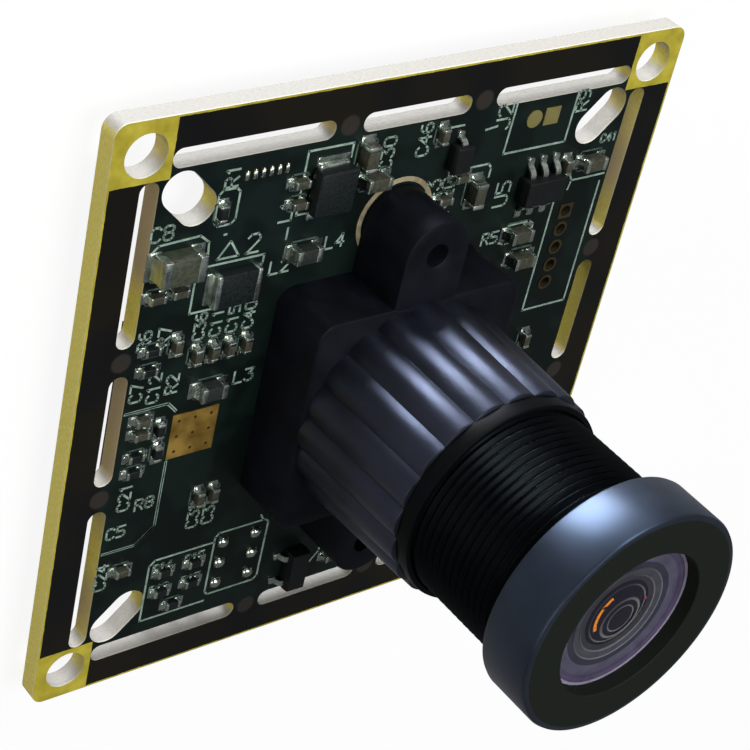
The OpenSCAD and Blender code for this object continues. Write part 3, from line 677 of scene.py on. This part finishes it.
def soldered(piece, size, places, finish):
    """Adds chips of one size, with their ends, lands and fillets."""
    length, width, height, end = size
    body, caps, lands, fillets = [Piece(name) for name in ("body", "caps", "lands", "fillets")]
    body.slab((length - end, width - 0.04, 0.07), 0.02, height - 0.02, finish)
    for side in (-1, 1):
        caps.slab((end, width, 0.08), 0.01, height, tin, 0.06,
                  at=shift(side * (length - end) / 2, 0))
        lands.slab((end + 0.4, width + 0.14, 0.06), -0.01, 0.03, solder, 0.015,
                   at=shift(side * (length / 2 + 0.02), 0))
        rings = []
        for out, top in ((-0.02, height * 0.72), (0.05, height * 0.42), (0.12, height * 0.2),
                         (0.22, 0.035)):
            x, foot = side * (length / 2 + out), width / 2 - 0.03 - out * 0.1
            rings.append([(x, -foot, 0), (x, foot, 0), (x, foot - 0.08, top),
                          (x, 0.08 - foot, top)])
        fillets.stack(rings, solder)
    for part in (body, caps, lands, fillets):
        set_out(piece, part, places)


def chips(node, sizes, finish, slot_name, front=True):
    """Replaces a node of chips with soldered ones, on the front or behind."""
    piece = Piece("soldered_" + node)
    places = {size: [] for size in sizes}
    for centre, turn, low, high in solids_of(node):
        long_side = max((high - low).xy)
        size = min(sizes, key=lambda size: abs(size[0] - long_side))
        places[size].append(spot_on(centre.x, centre.y, front, turn))
    for size in sizes:
        soldered(piece, size, places[size], finish)
    piece.stand(slot_name, node)


chips("capacitors_0402", [SIZE_0402], tan_ceramic, "capacitor_tan")
chips("capacitors_0603", [SIZE_0603], tan_ceramic, "capacitor_tan")
chips("resistors_0402", [FILM_0402], film_glaze, "dark_moulding")
chips("ferrite_beads", [BEAD], dark_ferrite, "ferrite")

# ---- Bare lands ----
# Copper plated with thin gold: the square heat land with its nine plated holes, the header and
# test lands, and small lands that carry only a dome of solder.
HEAT_LAND, HEAT_PITCH = Vector((-11.1, -1.45)), 1.05
EAR_Y = 10.05
gold = Finish("gold_plating", 0.6, Metallic=0.85)
shade = gold.mottle(1.4, 0.35, 0.65, detail=2.0)
x, y, z = gold.place()
test_side = (x > 8.0) * (y > 13.0)
header_side = (x > 11.8) * (y < 10.5)
plated = gold.blend(test_side, gold.blend(shade, (150, 116, 48), (206, 168, 84)),
                    (178, 166, 104))
gold.set(Base_Color=gold.blend(header_side, plated, (84, 72, 46)),
         Roughness=gold.step(shade, 0, 1, 0.34, 0.46))
gold.bump(gold.noise(0.15), 0.003)
dress("plated_lands", gold)
pierced, hole = Piece("heat_land_holes"), Piece("hole")
hole_black = Finish("hole_shadow", 0.1).grain(
    0.05, (44, 28, 12), (66, 44, 20), (0.7, 0.9), 0.0)
hole.lathe([(0.0, 0.02), (0.1, 0.02), (0.1, 0.058), (0.0, 0.056)], hole_black, steps=14)
set_out(pierced, hole, [spot_on(*(HEAT_LAND + Vector((i, j)) * HEAT_PITCH))
                        for i in (-1, 0, 1) for j in (-1, 0, 1)])
pierced.stand("gold_plate")
domes = Piece("solder_domes")
for low_side, high_side, rise, spread in ((0.4, 0.7, 0.26, 1.3), (0.1, 0.4, 0.13, 1.25)):
    spots = [(centre, high - low) for centre, _, low, high in solids_of("plated_lands")
             if low_side < (high - low).x < high_side]
    half = spots[0][1] / 2 * spread
    turns = [2 * pi * i / 16 for i in range(16)]
    rings = []
    for level in (0.0, 0.35, 0.65, 0.88, 0.98):
        reach = sqrt(1 - level ** 2)
        rings.append([(half.x * reach * cos(t), half.y * reach * sin(t),
                       0.01 + rise * level) for t in turns])
    dome_shape = Piece("dome")
    dome_shape.stack(rings, solder)
    set_out(domes, dome_shape, [spot_on(centre.x, centre.y) for centre, _ in spots])
domes.stand("can_metal")
ear_ring = Piece("ear_ring_land")
bare_ring = Finish("bare_ring", 0.2).grain(
    0.5, (112, 102, 78), (150, 138, 112), (0.4, 0.6), 0.004)
ear_ring.lathe([(2.25, 0.0), (2.56, 0.0), (2.54, 0.03), (2.27, 0.03)], bare_ring, steps=64,
               at=shift(0, EAR_Y, BOARD_TOP))
ear_ring.stand("gold_plate")

# ---- Inductors and the large capacitor ----
# A shielded coil in a moulded cover with a broad tinned end, a flat power inductor with metal
# ends, and one large ceramic capacitor, all soldered to lands wider than themselves.
coil_cover = Finish("coil_cover", 0.2).grain(
    0.15, (12, 17, 18), (22, 28, 28), (0.35, 0.55), 0.006)


def wound_coil(name, node, body, *ends, front=True):
    """A coil's body, and the slabs that stand at both its ends, each after its way out."""
    piece, place = Piece(name), seat(node, front)
    piece.slab(*body, at=place)
    for side in (1, -1):
        for (x, y), *end in ends:
            piece.slab(*end, at=place @ shift(side * x, side * y))
    piece.stand("ferrite", node)


wound_coil("shielded_coil", "shielded_inductor",
           ((2.5, 2.7, 0.25), 0.12, 0.9, coil_cover, 0.12, 0.04),
           ((0, 1.3), (2.0, 0.5, 0.16), 0.0, 0.3, tin, 0.12),
           ((0, 1.62), (2.2, 0.6, 0.15), -0.01, 0.1, solder, 0.08))
wound_coil("flat_power_coil", "power_inductor", ((2.5, 2.06, 0.1), 0.02, 0.64, coil_cover, 0.06),
           ((1.24, 0), (0.42, 2.1, 0.14), 0.0, 0.65, tin, 0.1),
           ((1.55, 0), (0.5, 2.0, 0.12), -0.01, 0.12, solder, 0.09))
olive_ceramic = Finish("olive_ceramic", 0.4).grain(
    0.25, (46, 52, 40), (66, 70, 56), (0.3, 0.5), 0.004)
large = Piece("large_capacitor")
middle = seat("bulk_capacitor").translation
soldered(large, (2.6, 1.6, 1.1, 0.5), [spot_on(middle.x, middle.y)], olive_ceramic)
large.stand("dark_moulding", "bulk_capacitor")

# ---- Small moulded packages ----
# Black epoxy bodies with a parting line and slanted sides.  Tinned gull-wing leads leave at half
# height, bend down and stand on lands with bright solder round their feet.
epoxy = Finish("moulded_epoxy", 0.2).grain(
    0.08, (8, 10, 11), (15, 17, 18), (0.45, 0.62), 0.004)


def gull_lead(shoulder, out, width=0.38, thick=0.12):
    """One lead along +X from a body's side at 0: shoulder height, reach and width."""
    path = ((-0.12, shoulder), (0.1 * out, shoulder), (0.26 * out, shoulder - 0.04),
            (0.42 * out, shoulder * 0.5 + 0.03), (0.56 * out, 0.06), (0.68 * out, 0.02),
            (out, 0.02))
    rings = []
    for before, (x, z), after in zip((path[0], *path), path, (*path[1:], path[-1])):
        along = (Vector(after) - Vector(before)).normalized() * thick
        rings.append([(x, -width / 2, z), (x, width / 2, z),
                      (x - along.y, width / 2, z + along.x),
                      (x - along.y, -width / 2, z + along.x)])
    lead = Piece("lead")
    lead.stack(rings, tin)
    return lead


def moulded_package(name, node, size, sides, turn=0, front=True):
    """size is body length, width, height, span and shoulder; sides gives (side, lead offsets)."""
    length, width, height, span, shoulder = size
    turn = radians(turn)
    face = seat(node, front) @ Matrix.Rotation(turn, 4, "Z")
    piece = Piece(name)
    waist, draft = shoulder + 0.06, 0.07
    piece.rise(rounded(length, width, 0.16, steps=4),
               ((0.06, draft), (waist - 0.02, 0.0), (waist + 0.02, 0.0), (height - 0.05, draft),
                (height, draft + 0.05)), epoxy, face)
    piece.lathe([(0.0, 0.0), (0.13, 0.0), (0.12, 0.01), (0.0, 0.01)], film_glaze, steps=20,
                at=face @ shift(0.38 - length / 2, 0.38 - width / 2, height - 0.004))
    out = (span - width) / 2
    for side, offsets in sides:
        heading = (turn + side * pi / 2) * (1 if front else -1)
        places, feet = [[spot_on(*(face @ Vector((offset, side * reach, 0))).xy, front, heading)
                         for offset in offsets] for reach in (width / 2, width / 2 + out * 0.85)]
        set_out(piece, gull_lead(shoulder, out), places)
        pool = Piece("pool")
        pool.slab((0.6, 0.52, 0.18), -0.01, 0.13, solder, 0.1)
        set_out(piece, pool, feet)
    piece.stand("dark_moulding", node)


THREE, TWO = (-0.95, 0, 0.95), (-0.95, 0.95)
moulded_package("regulator", "regulator_ic", (3, 1.7, 1, 3.7, 0.45), ((1, THREE), (-1, THREE)))
moulded_package("switch", "switch_transistor", (2.9, 1.4, 1, 2.5, 0.45),
                ((1, TWO), (-1, (0,))), turn=90)
moulded_package("clamp", "clamp_diode", (1.25, 1.7, 0.85, 2.6, 0.45), ((1, (0,)), (-1, (0,))))

# ---- Lens holder ----
# One black glass-filled moulding: a square foot with two screw ears, a tapered tower with
# twenty round flutes for the fingers, and a plain collar that holds the lens thread.  Two
# small steel screws hold it from behind.
moulding = Finish("black_moulding", 1.0, Specular_Tint=(0.62, 0.7, 1, 1))
foot_moulding = Finish("matt_moulding", 0.12, Specular_Tint=(0.8, 0.82, 1, 1))
for made, gloss in ((moulding, 0.28), (foot_moulding, 0.42)):
    cloudy = made.mottle(1.6, 0.35, 0.65, detail=2.0)
    made.set(Base_Color=made.blend(cloudy, (8, 9, 13), (12, 14, 20)),
             Roughness=made.step(made.mottle(0.06), 0, 1, gloss, gloss + 0.08) + cloudy * 0.06)
    made.bump(made.noise(0.06) + made.noise(0.5) * 0.8, 0.006)
collar_gloss = Finish("smooth_collar", 0.07).grain(
    0.1, (4, 6, 7), (8, 9, 10), (0.3, 0.38), 0.002)
FOOT_LOW = BOARD_TOP + 0.005
FOOT_TOP = BOARD_TOP + 3.95
TOWER_TOP = FOOT_TOP + 8.35
COLLAR_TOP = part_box("lens_holder")[1].z / MM
EAR_R, EAR_HOLE_R, EAR_ROOT = 2.15, 0.7, 3.6
BORE_R, FLUTES = 6.05, 20
CREST_R, VALLEY_R, TOP_R = 7.0, 6.7, 6.7
holder = Piece("fluted_lens_holder")
holder.slab((14, 14, 1.0, 6), FOOT_LOW, FOOT_TOP, foot_moulding, 0.14)
turns = [2 * pi * i / 32 for i in range(32)]
circle = [(cos(turn), sin(turn)) for turn in turns]
lobe = []
for x, y in circle:
    reach = EAR_R
    if y < 0:
        reach = min(EAR_R / max(abs(x), 1e-6), EAR_ROOT / max(abs(y), 1e-6))
    lobe.append((reach * x, reach * y))
drill = [(EAR_HOLE_R * x, EAR_HOLE_R * y) for x, y in circle]
levels = ((FOOT_LOW, 0, 0), (FOOT_TOP - 0.16, 0, 0), (FOOT_TOP - 0.05, 0.04, 0.02),
          (FOOT_TOP - 0.01, 0.14, 0.08))
walls = [(lobe, z, 1 - cut / EAR_R) for z, cut, _ in levels]
walls += [(drill, z, 1 + widen / EAR_HOLE_R) for z, _, widen in reversed(levels)]
for side in (1, -1):
    holder.stack([[(x * scale, side * (10 + y * scale), z) for x, y in ring]
                  for ring, z, scale in walls], foot_moulding, closed=True)
half_step = pi / FLUTES
sagitta = CREST_R - VALLEY_R * cos(half_step)
half_chord = VALLEY_R * sin(half_step)
arc = (sagitta ** 2 + half_chord ** 2) / (2 * sagitta)
sweep = asin(half_chord / arc)
taper = TOP_R / CREST_R
back = 6.1 * tan(half_step)
rings = []
for z, scale, inset in ((FOOT_TOP - 0.05, 1.0, 0), (FOOT_TOP + 4, 1 + (taper - 1) * 0.48, 0),
                        (TOWER_TOP - 0.1, taper, 0), (TOWER_TOP - 0.03, taper, 0.03),
                        (TOWER_TOP, taper, 0.1)):
    crest = [sweep * (i / 6 - 1) for i in range(13)]
    ring = [(CREST_R - arc + (arc - inset) * cos(turn), (arc - inset) * sin(turn))
            for turn in crest] + [(6.2, back), (6.2, -back)]
    rings.append([(x * scale, y * scale, z) for x, y in ring])
flute = Piece("flute")
flute.stack(rings, moulding)
set_out(holder, flute, [(0, 0, 0, 0, 2 * half_step * i + pi / 2) for i in range(FLUTES)])
holder.lathe([(BORE_R, FOOT_TOP - 0.5), (6.45, FOOT_TOP - 0.5), (6.3, TOWER_TOP - 0.2),
              (BORE_R, TOWER_TOP - 0.2)], moulding)
holder.lathe([(BORE_R, TOWER_TOP - 0.4), (6.4, TOWER_TOP - 0.4), (6.4, COLLAR_TOP - 0.13),
              (6.37, COLLAR_TOP - 0.05), (6.28, COLLAR_TOP), (6.1, COLLAR_TOP),
              (BORE_R, COLLAR_TOP - 0.05)], collar_gloss)
holder.stand("black_plastic", "lens_holder")
steel = Finish("plated_steel", Metallic=1.0).grain(
    0.15, (150, 152, 156), (182, 184, 186), (0.25, 0.4), 0.004)
dress("holder_screws", steel)

# ---- Lens barrel ----
# Turned aluminium, black anodised: a fine thread, a wider plain head to grip when focusing,
# and a matt face round the recessed front glass.
anodised = Finish("black_anodised", 0.9, Specular_Tint=(0.48, 0.66, 1, 1))
stained = anodised.mottle(2.2, 0.35, 0.65, detail=2.0)
anodised.set(Base_Color=anodised.blend(stained, (14, 16, 19), (19, 21, 26)),
             Roughness=anodised.step(anodised.mottle(0.1), 0, 1, 0.31, 0.36) + stained * 0.05)
anodised.bump(anodised.noise(0.08), 0.002)
thread_black = Finish("thread_black", 0.08, Specular_Tint=(0.7, 0.9, 1, 1))
thread_black.grain(1.2, (4, 5, 6), (7, 8, 9), (0.26, 0.3), 0.0)
face_black = Finish("matt_face_black", 0.08).grain(
    0.07, (19, 23, 19), (24, 28, 23), (0.6, 0.75), 0.003)
FACE_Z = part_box("lens_barrel")[1].z / MM
HEAD_Z = FACE_Z - 3.4
MOUTH_R, HEAD_R, CORE_R = 4.56, 6.95, 5.74
RIDGE_R, PITCH, TURNS, RIDGE = 5.78, 0.5, 14.5, 0.3
barrel = Piece("threaded_barrel")
barrel.lathe([(HEAD_R, HEAD_Z + 0.25), (HEAD_R, FACE_Z - 0.2), (6.89, FACE_Z - 0.06),
              (6.75, FACE_Z), (6.6, FACE_Z), (6.6, HEAD_Z + 0.5), (5.5, HEAD_Z + 0.5),
              (5.5, HEAD_Z), (6.72, HEAD_Z), (6.89, HEAD_Z + 0.08)], anodised, steps=160)
barrel.lathe([(6.7, FACE_Z - 0.004), (4.62, FACE_Z - 0.004), (MOUTH_R, FACE_Z - 0.05),
              (MOUTH_R, FACE_Z - 1.15), (5.2, FACE_Z - 1.2), (6.7, FACE_Z - 1.2)], face_black,
             steps=128)
for inner, outer, low, high in ((MOUTH_R, 5.2, FACE_Z - 2.35, FACE_Z - 1.2),
                                (5.45, CORE_R, 6.6, HEAD_Z + 0.1)):
    barrel.lathe([(inner, high), (inner, low), (outer, low), (outer, high)], thread_black,
                 steps=128)
THREAD = Growth("thread_ridge", Radius="Float", Pitch="Float", Turns="Float", Ridge="Float")
radius, pitch, turns, ridge = [THREAD.given[name] for name in
                               ("Radius", "Pitch", "Turns", "Ridge")]
helix = THREAD.field("CurveSpiral", {"Resolution": 96, "Rotations": turns, "Start Radius": radius,
                                     "End Radius": radius, "Height": pitch * turns})
THREAD.close(THREAD.swept(helix, ridge, ridge, radians(45)))
ridge_mesh = THREAD.grown("helix", bpy.data.meshes.new("helix"), thread_black,
                          Radius=RIDGE_R * MM, Pitch=PITCH * MM, Turns=TURNS, Ridge=RIDGE * MM)
ridge_mesh.transform(shift(0, 0, (HEAD_Z - 0.3 - PITCH * TURNS) * MM))
barrel.add(ridge_mesh, thread_black)
barrel.stand("anodised", "lens_barrel", body="lens")

# ---- Lens elements ----
# A bulged front glass with a ground, violet bevel, held over stepped black baffles.  The
# bevel's violet is partly coating colour and partly painted reflection; the baffles' turned
# edges are thin rings with painted highlight, darker on one side as painted shade.  The inner
# glass carries painted ring highlights and painted glints.  More coated elements and rings
# stand behind.
coating = Finish("coated_glass", 0.6, Base_Color=(60, 52, 72), Roughness=0.04, IOR=1.6, Alpha=0.11)
coating.set(Base_Color=coating.blend(coating.mottle(2.0), (60, 52, 74), (48, 48, 66)))
RIM_Z = FACE_Z - 0.75
GLASS_R, DOME_R, WELL_R = 4.5, 16.0, 2.1
centre_z = RIM_Z - sqrt(DOME_R ** 2 - (GLASS_R - 0.25) ** 2)
dome = [(0.0, centre_z + DOME_R)]
for i in range(1, 13):
    r = (GLASS_R - 0.25) * i / 12
    dome.append((r, centre_z + sqrt(DOME_R ** 2 - r ** 2)))
front = Piece("front_glass")
front.lathe([(0.0, RIM_Z - 0.17), (4.2, RIM_Z - 0.17), (GLASS_R, RIM_Z - 0.09),
             (GLASS_R, RIM_Z - 0.03), *reversed(dome)], coating)
front.stand("coated_glass", "front_element", body="lens")


def ring_finish(name, colour, other, gloss=(0.3, 0.4)):
    return Finish(name, 0.6).grain(0.8, colour, other, gloss, 0.0)


# The violet bevel is partly the coating's colour and partly a painted reflection.
violet = ring_finish("violet_bevel", (64, 56, 78), (84, 74, 100))
lilac = ring_finish("lilac_baffle", (74, 72, 90), (94, 92, 110))
bright_rim = ring_finish("ground_rim", (140, 132, 152), (166, 158, 176))
slate = ring_finish("slate_baffle", (34, 38, 50), (46, 50, 62))
deep = ring_finish("deep_baffle", (34, 35, 38), (50, 50, 52))
grey_step = ring_finish("grey_baffle", (54, 57, 62), (72, 74, 78))
# The rose finish is for a small painted glint among the inner rings.
rose = ring_finish("rose_coating", (150, 60, 84), (176, 84, 104), (0.2, 0.3))
edge_ring_painted_light = ring_finish("turned_edge", (96, 94, 106), (122, 118, 130), (0.25, 0.35))
# The thin turned-edge rings are painted pale as a highlight on the +X, -Y side and darker towards
# -X, +Y as painted shade.
x, y, z = edge_ring_painted_light.place()
edge_ring_painted_light.set(Base_Color=edge_ring_painted_light.blend(edge_ring_painted_light.step(x - y, -2.5, 2.5),
                                         (50, 50, 58), (122, 120, 128)))
pupil = Finish("black_inner_glass", 0.3, Roughness=0.06)
x, y, z = pupil.place()


def band(off_x, off_y, middle, half):
    """1 within a thin ring round an upright axis, 0 outside it."""
    reach = pupil.span(x - off_x, y - off_y)
    return pupil.step(abs(reach - middle), half, half * 0.4)


# The thin grey rings on the inner glass are painted highlights, fading to dark towards -X, +Y as
# painted shade.
edges = pupil.math("MAXIMUM", band(0.37, -0.48, 1.27, 0.11), band(0.37, -0.48, 0.85, 0.06))
edges = pupil.math("MAXIMUM", edges, band(0.1, -0.1, 1.85, 0.06))
painted_lit_side = pupil.step(x - y, -1.2, 1.4, 0.15, 1.0)
tone = pupil.blend(edges * painted_lit_side, (4, 5, 8), (122, 123, 120))
# The dashed amber arc is a painted glint on the inner glass.
AMBER_X, AMBER_Y = 0.22, -0.13
turn = pupil.math("ARCTAN2", y - AMBER_Y, (x - AMBER_X) * -1.0)
painted_amber_glint = (turn > -0.43) * (turn < 0.98) * (pupil.noise(0.42, detail=0.0) > 0.42)
pupil.set(Base_Color=pupil.blend(band(AMBER_X, AMBER_Y, 1.62, 0.13) * painted_amber_glint, tone,
                                             (255, 150, 26)))
baffles = Piece("stepped_baffles")
top, foot = RIM_Z - 0.2, RIM_Z - 1.2
for outer, inner, high, low, made in (
        (4.54, 4.38, top + 0.09, top + 0.08, bright_rim), (4.38, 3.95, top + 0.07, top, violet),
        (3.95, 3.35, top, top - 0.02, lilac), (3.35, 2.97, top - 0.04, top - 0.06, slate),
        (2.97, 2.88, top - 0.03, top - 0.03, edge_ring_painted_light),
        (2.88, 2.5, top - 0.06, top - 0.1, grey_step),
        (2.5, 2.41, top - 0.07, top - 0.07, edge_ring_painted_light),
        (2.41, WELL_R, top - 0.12, top - 0.16, deep)):
    baffles.lathe([(outer, foot), (outer, high), (inner, low), (inner, foot)], made, steps=128)
well = [(0.0, foot), (WELL_R, foot)]
for i in range(13):
    share = 1 - i / 12
    well.append((WELL_R * share, top - 0.2 + 0.14 * (1 - share ** 2)))
baffles.lathe(well, pupil)
# A small rose patch among the inner rings: a painted glint.
turns = [radians(6 + i * 1.5) for i in range(5)]
baffles.stack([[(r * cos(t), r * sin(t), top + z) for r, t in
                [(2.02, t) for t in turns] + [(1.88, t) for t in reversed(turns)]]
               for z in (-0.3, -0.13)], rose)
baffles.stand("anodised", body="lens")
rubber = Finish("seal_rubber", 0.2).grain(
    0.1, (16, 16, 17), (24, 24, 25), (0.6, 0.8), 0.01)
for finish, nodes in ((rubber, ("front_seal",)), (anodised, ("lens_retainer",)),
                      (coating, ("second_element", "third_element", "rear_element")),
                      (face_black, ("lens_spacer", "aperture_stop", "rear_spacer"))):
    for node in nodes:
        dress(node, finish)

# ---- Image sensor ----
# A dark ceramic package with the silicon die under its cover glass, and above it, on the
# holder's shelf, the square infrared filter with its faint blue-green tint.
package_ceramic = Finish("package_ceramic", 0.4).grain(
    0.12, (32, 32, 36), (46, 46, 50), (0.5, 0.65), 0.006)
silicon = Finish("die_silicon", 0.8, Metallic=0.6, Roughness=0.16)
cells = silicon.field("TexWave", {"Vector": silicon.here, "Scale": 2400.0, "Distortion": 0.0},
                      bands_direction="DIAGONAL")
silicon.set(Base_Color=silicon.blend(cells, (58, 70, 96), (82, 76, 104)))
cover = Finish("cover_glass", 0.6, Roughness=0.03, IOR=1.5, Alpha=0.25)
cover.set(Base_Color=cover.blend(cover.mottle(2.0), (150, 196, 196), (178, 208, 206)))
for node, finish in (("image_sensor", package_ceramic), ("sensor_die", silicon),
                     ("sensor_glass", cover), ("ir_cut_filter", cover)):
    dress(node, finish)

# ---- Rear electronic parts ----
# The processor in a ball-grid package, the program memory, a crystal, a small regulator with
# its coil, rows of chips, and the receptacle for the board that the module plugs into.
package, ball = Piece("processor_package"), Piece("ball")
BALLS, BALL_PITCH = 11, 0.82
under = Matrix.Rotation(pi, 4, "X")
carrier_green = Finish("package_laminate", 0.4).grain(
    0.3, (20, 44, 30), (30, 58, 42), (0.4, 0.55), 0.006)
package.slab((9, 9, 0.1), 0.13, 0.36, carrier_green, 0.03, 0.02, at=under)
package.slab((8.5, 8.5, 0.25), 0.34, 1.1, epoxy, 0.08, draft=0.12, at=under)
package.lathe([(0.0, 0.0), (0.33, 0.0), (0.31, 0.012), (0.0, 0.012)], film_glaze, steps=32,
              at=under @ shift(-3.1, 3.1, 1.09))
ball.lathe([(0.0, 0.0), (0.16, 0.02), (0.23, 0.08), (0.16, 0.14), (0.0, 0.14)], solder, steps=8)
rows = range(BALLS)
set_out(package, ball, [spot_on(BALL_PITCH * (i - 5), BALL_PITCH * (j - 5), front=False)
                        for i in rows for j in rows if min(i, j) < 2 or max(i, j) > 8])
package.stand("dark_moulding", "image_processor")
FOUR = (-1.905, -0.635, 0.635, 1.905)
moulded_package("program_memory", "flash_memory", (4.9, 3.9, 1.5, 6.0, 0.65),
                ((1, FOUR), (-1, FOUR)), turn=90, front=False)
moulded_package("core_supply", "core_regulator", (2.9, 1.6, 1.1, 2.8, 0.45),
                ((1, THREE), (-1, TWO)), front=False)
can, corner_pad = Piece("crystal_can"), Piece("pad")
beneath = seat("crystal", front=False)
cream = Finish("crystal_ceramic", 0.4).grain(
    0.15, (58, 54, 48), (76, 70, 62), (0.5, 0.65), 0.006)
for layer in (((3.2, 2.5, 0.2), 0.02, 0.45, cream, 0.03),
              ((2.8, 2.1, 0.25), 0.44, 0.7, steel, 0.08),
              ((2.4, 1.7, 0.2), 0.69, 0.705, steel, 0.005)):
    can.slab(*layer, at=beneath)
corner_pad.slab((1.2, 1.0, 0.1), -0.01, 0.12, solder, 0.08)
set_out(can, corner_pad, [spot_on(*(beneath @ Vector((x, y, 0))).xy, front=False)
                          for x in (-1.15, 1.15) for y in (0.9, -0.9)])
can.stand("can_metal", "crystal")
wound_coil("rear_coil", "rear_inductor", ((3.0, 3.0, 0.3), 0.1, 1.1, coil_cover, 0.14, 0.04),
           ((1.3, 0), (0.6, 2.1, 0.12), 0.0, 0.25, tin, 0.08),
           ((1.6, 0), (0.5, 2.3, 0.12), -0.01, 0.1, solder, 0.07), front=False)
chips("rear_capacitors", [SIZE_0402, SIZE_0603], tan_ceramic, "capacitor_tan", front=False)
chips("rear_resistors", [FILM_0402], film_glaze, "dark_moulding", front=False)
receptacle = Finish("connector_moulding", 0.4).grain(
    0.1, (20, 19, 18), (30, 29, 27), (0.4, 0.55), 0.006)
dress("rear_connector", receptacle)
dress("connector_contacts", gold)
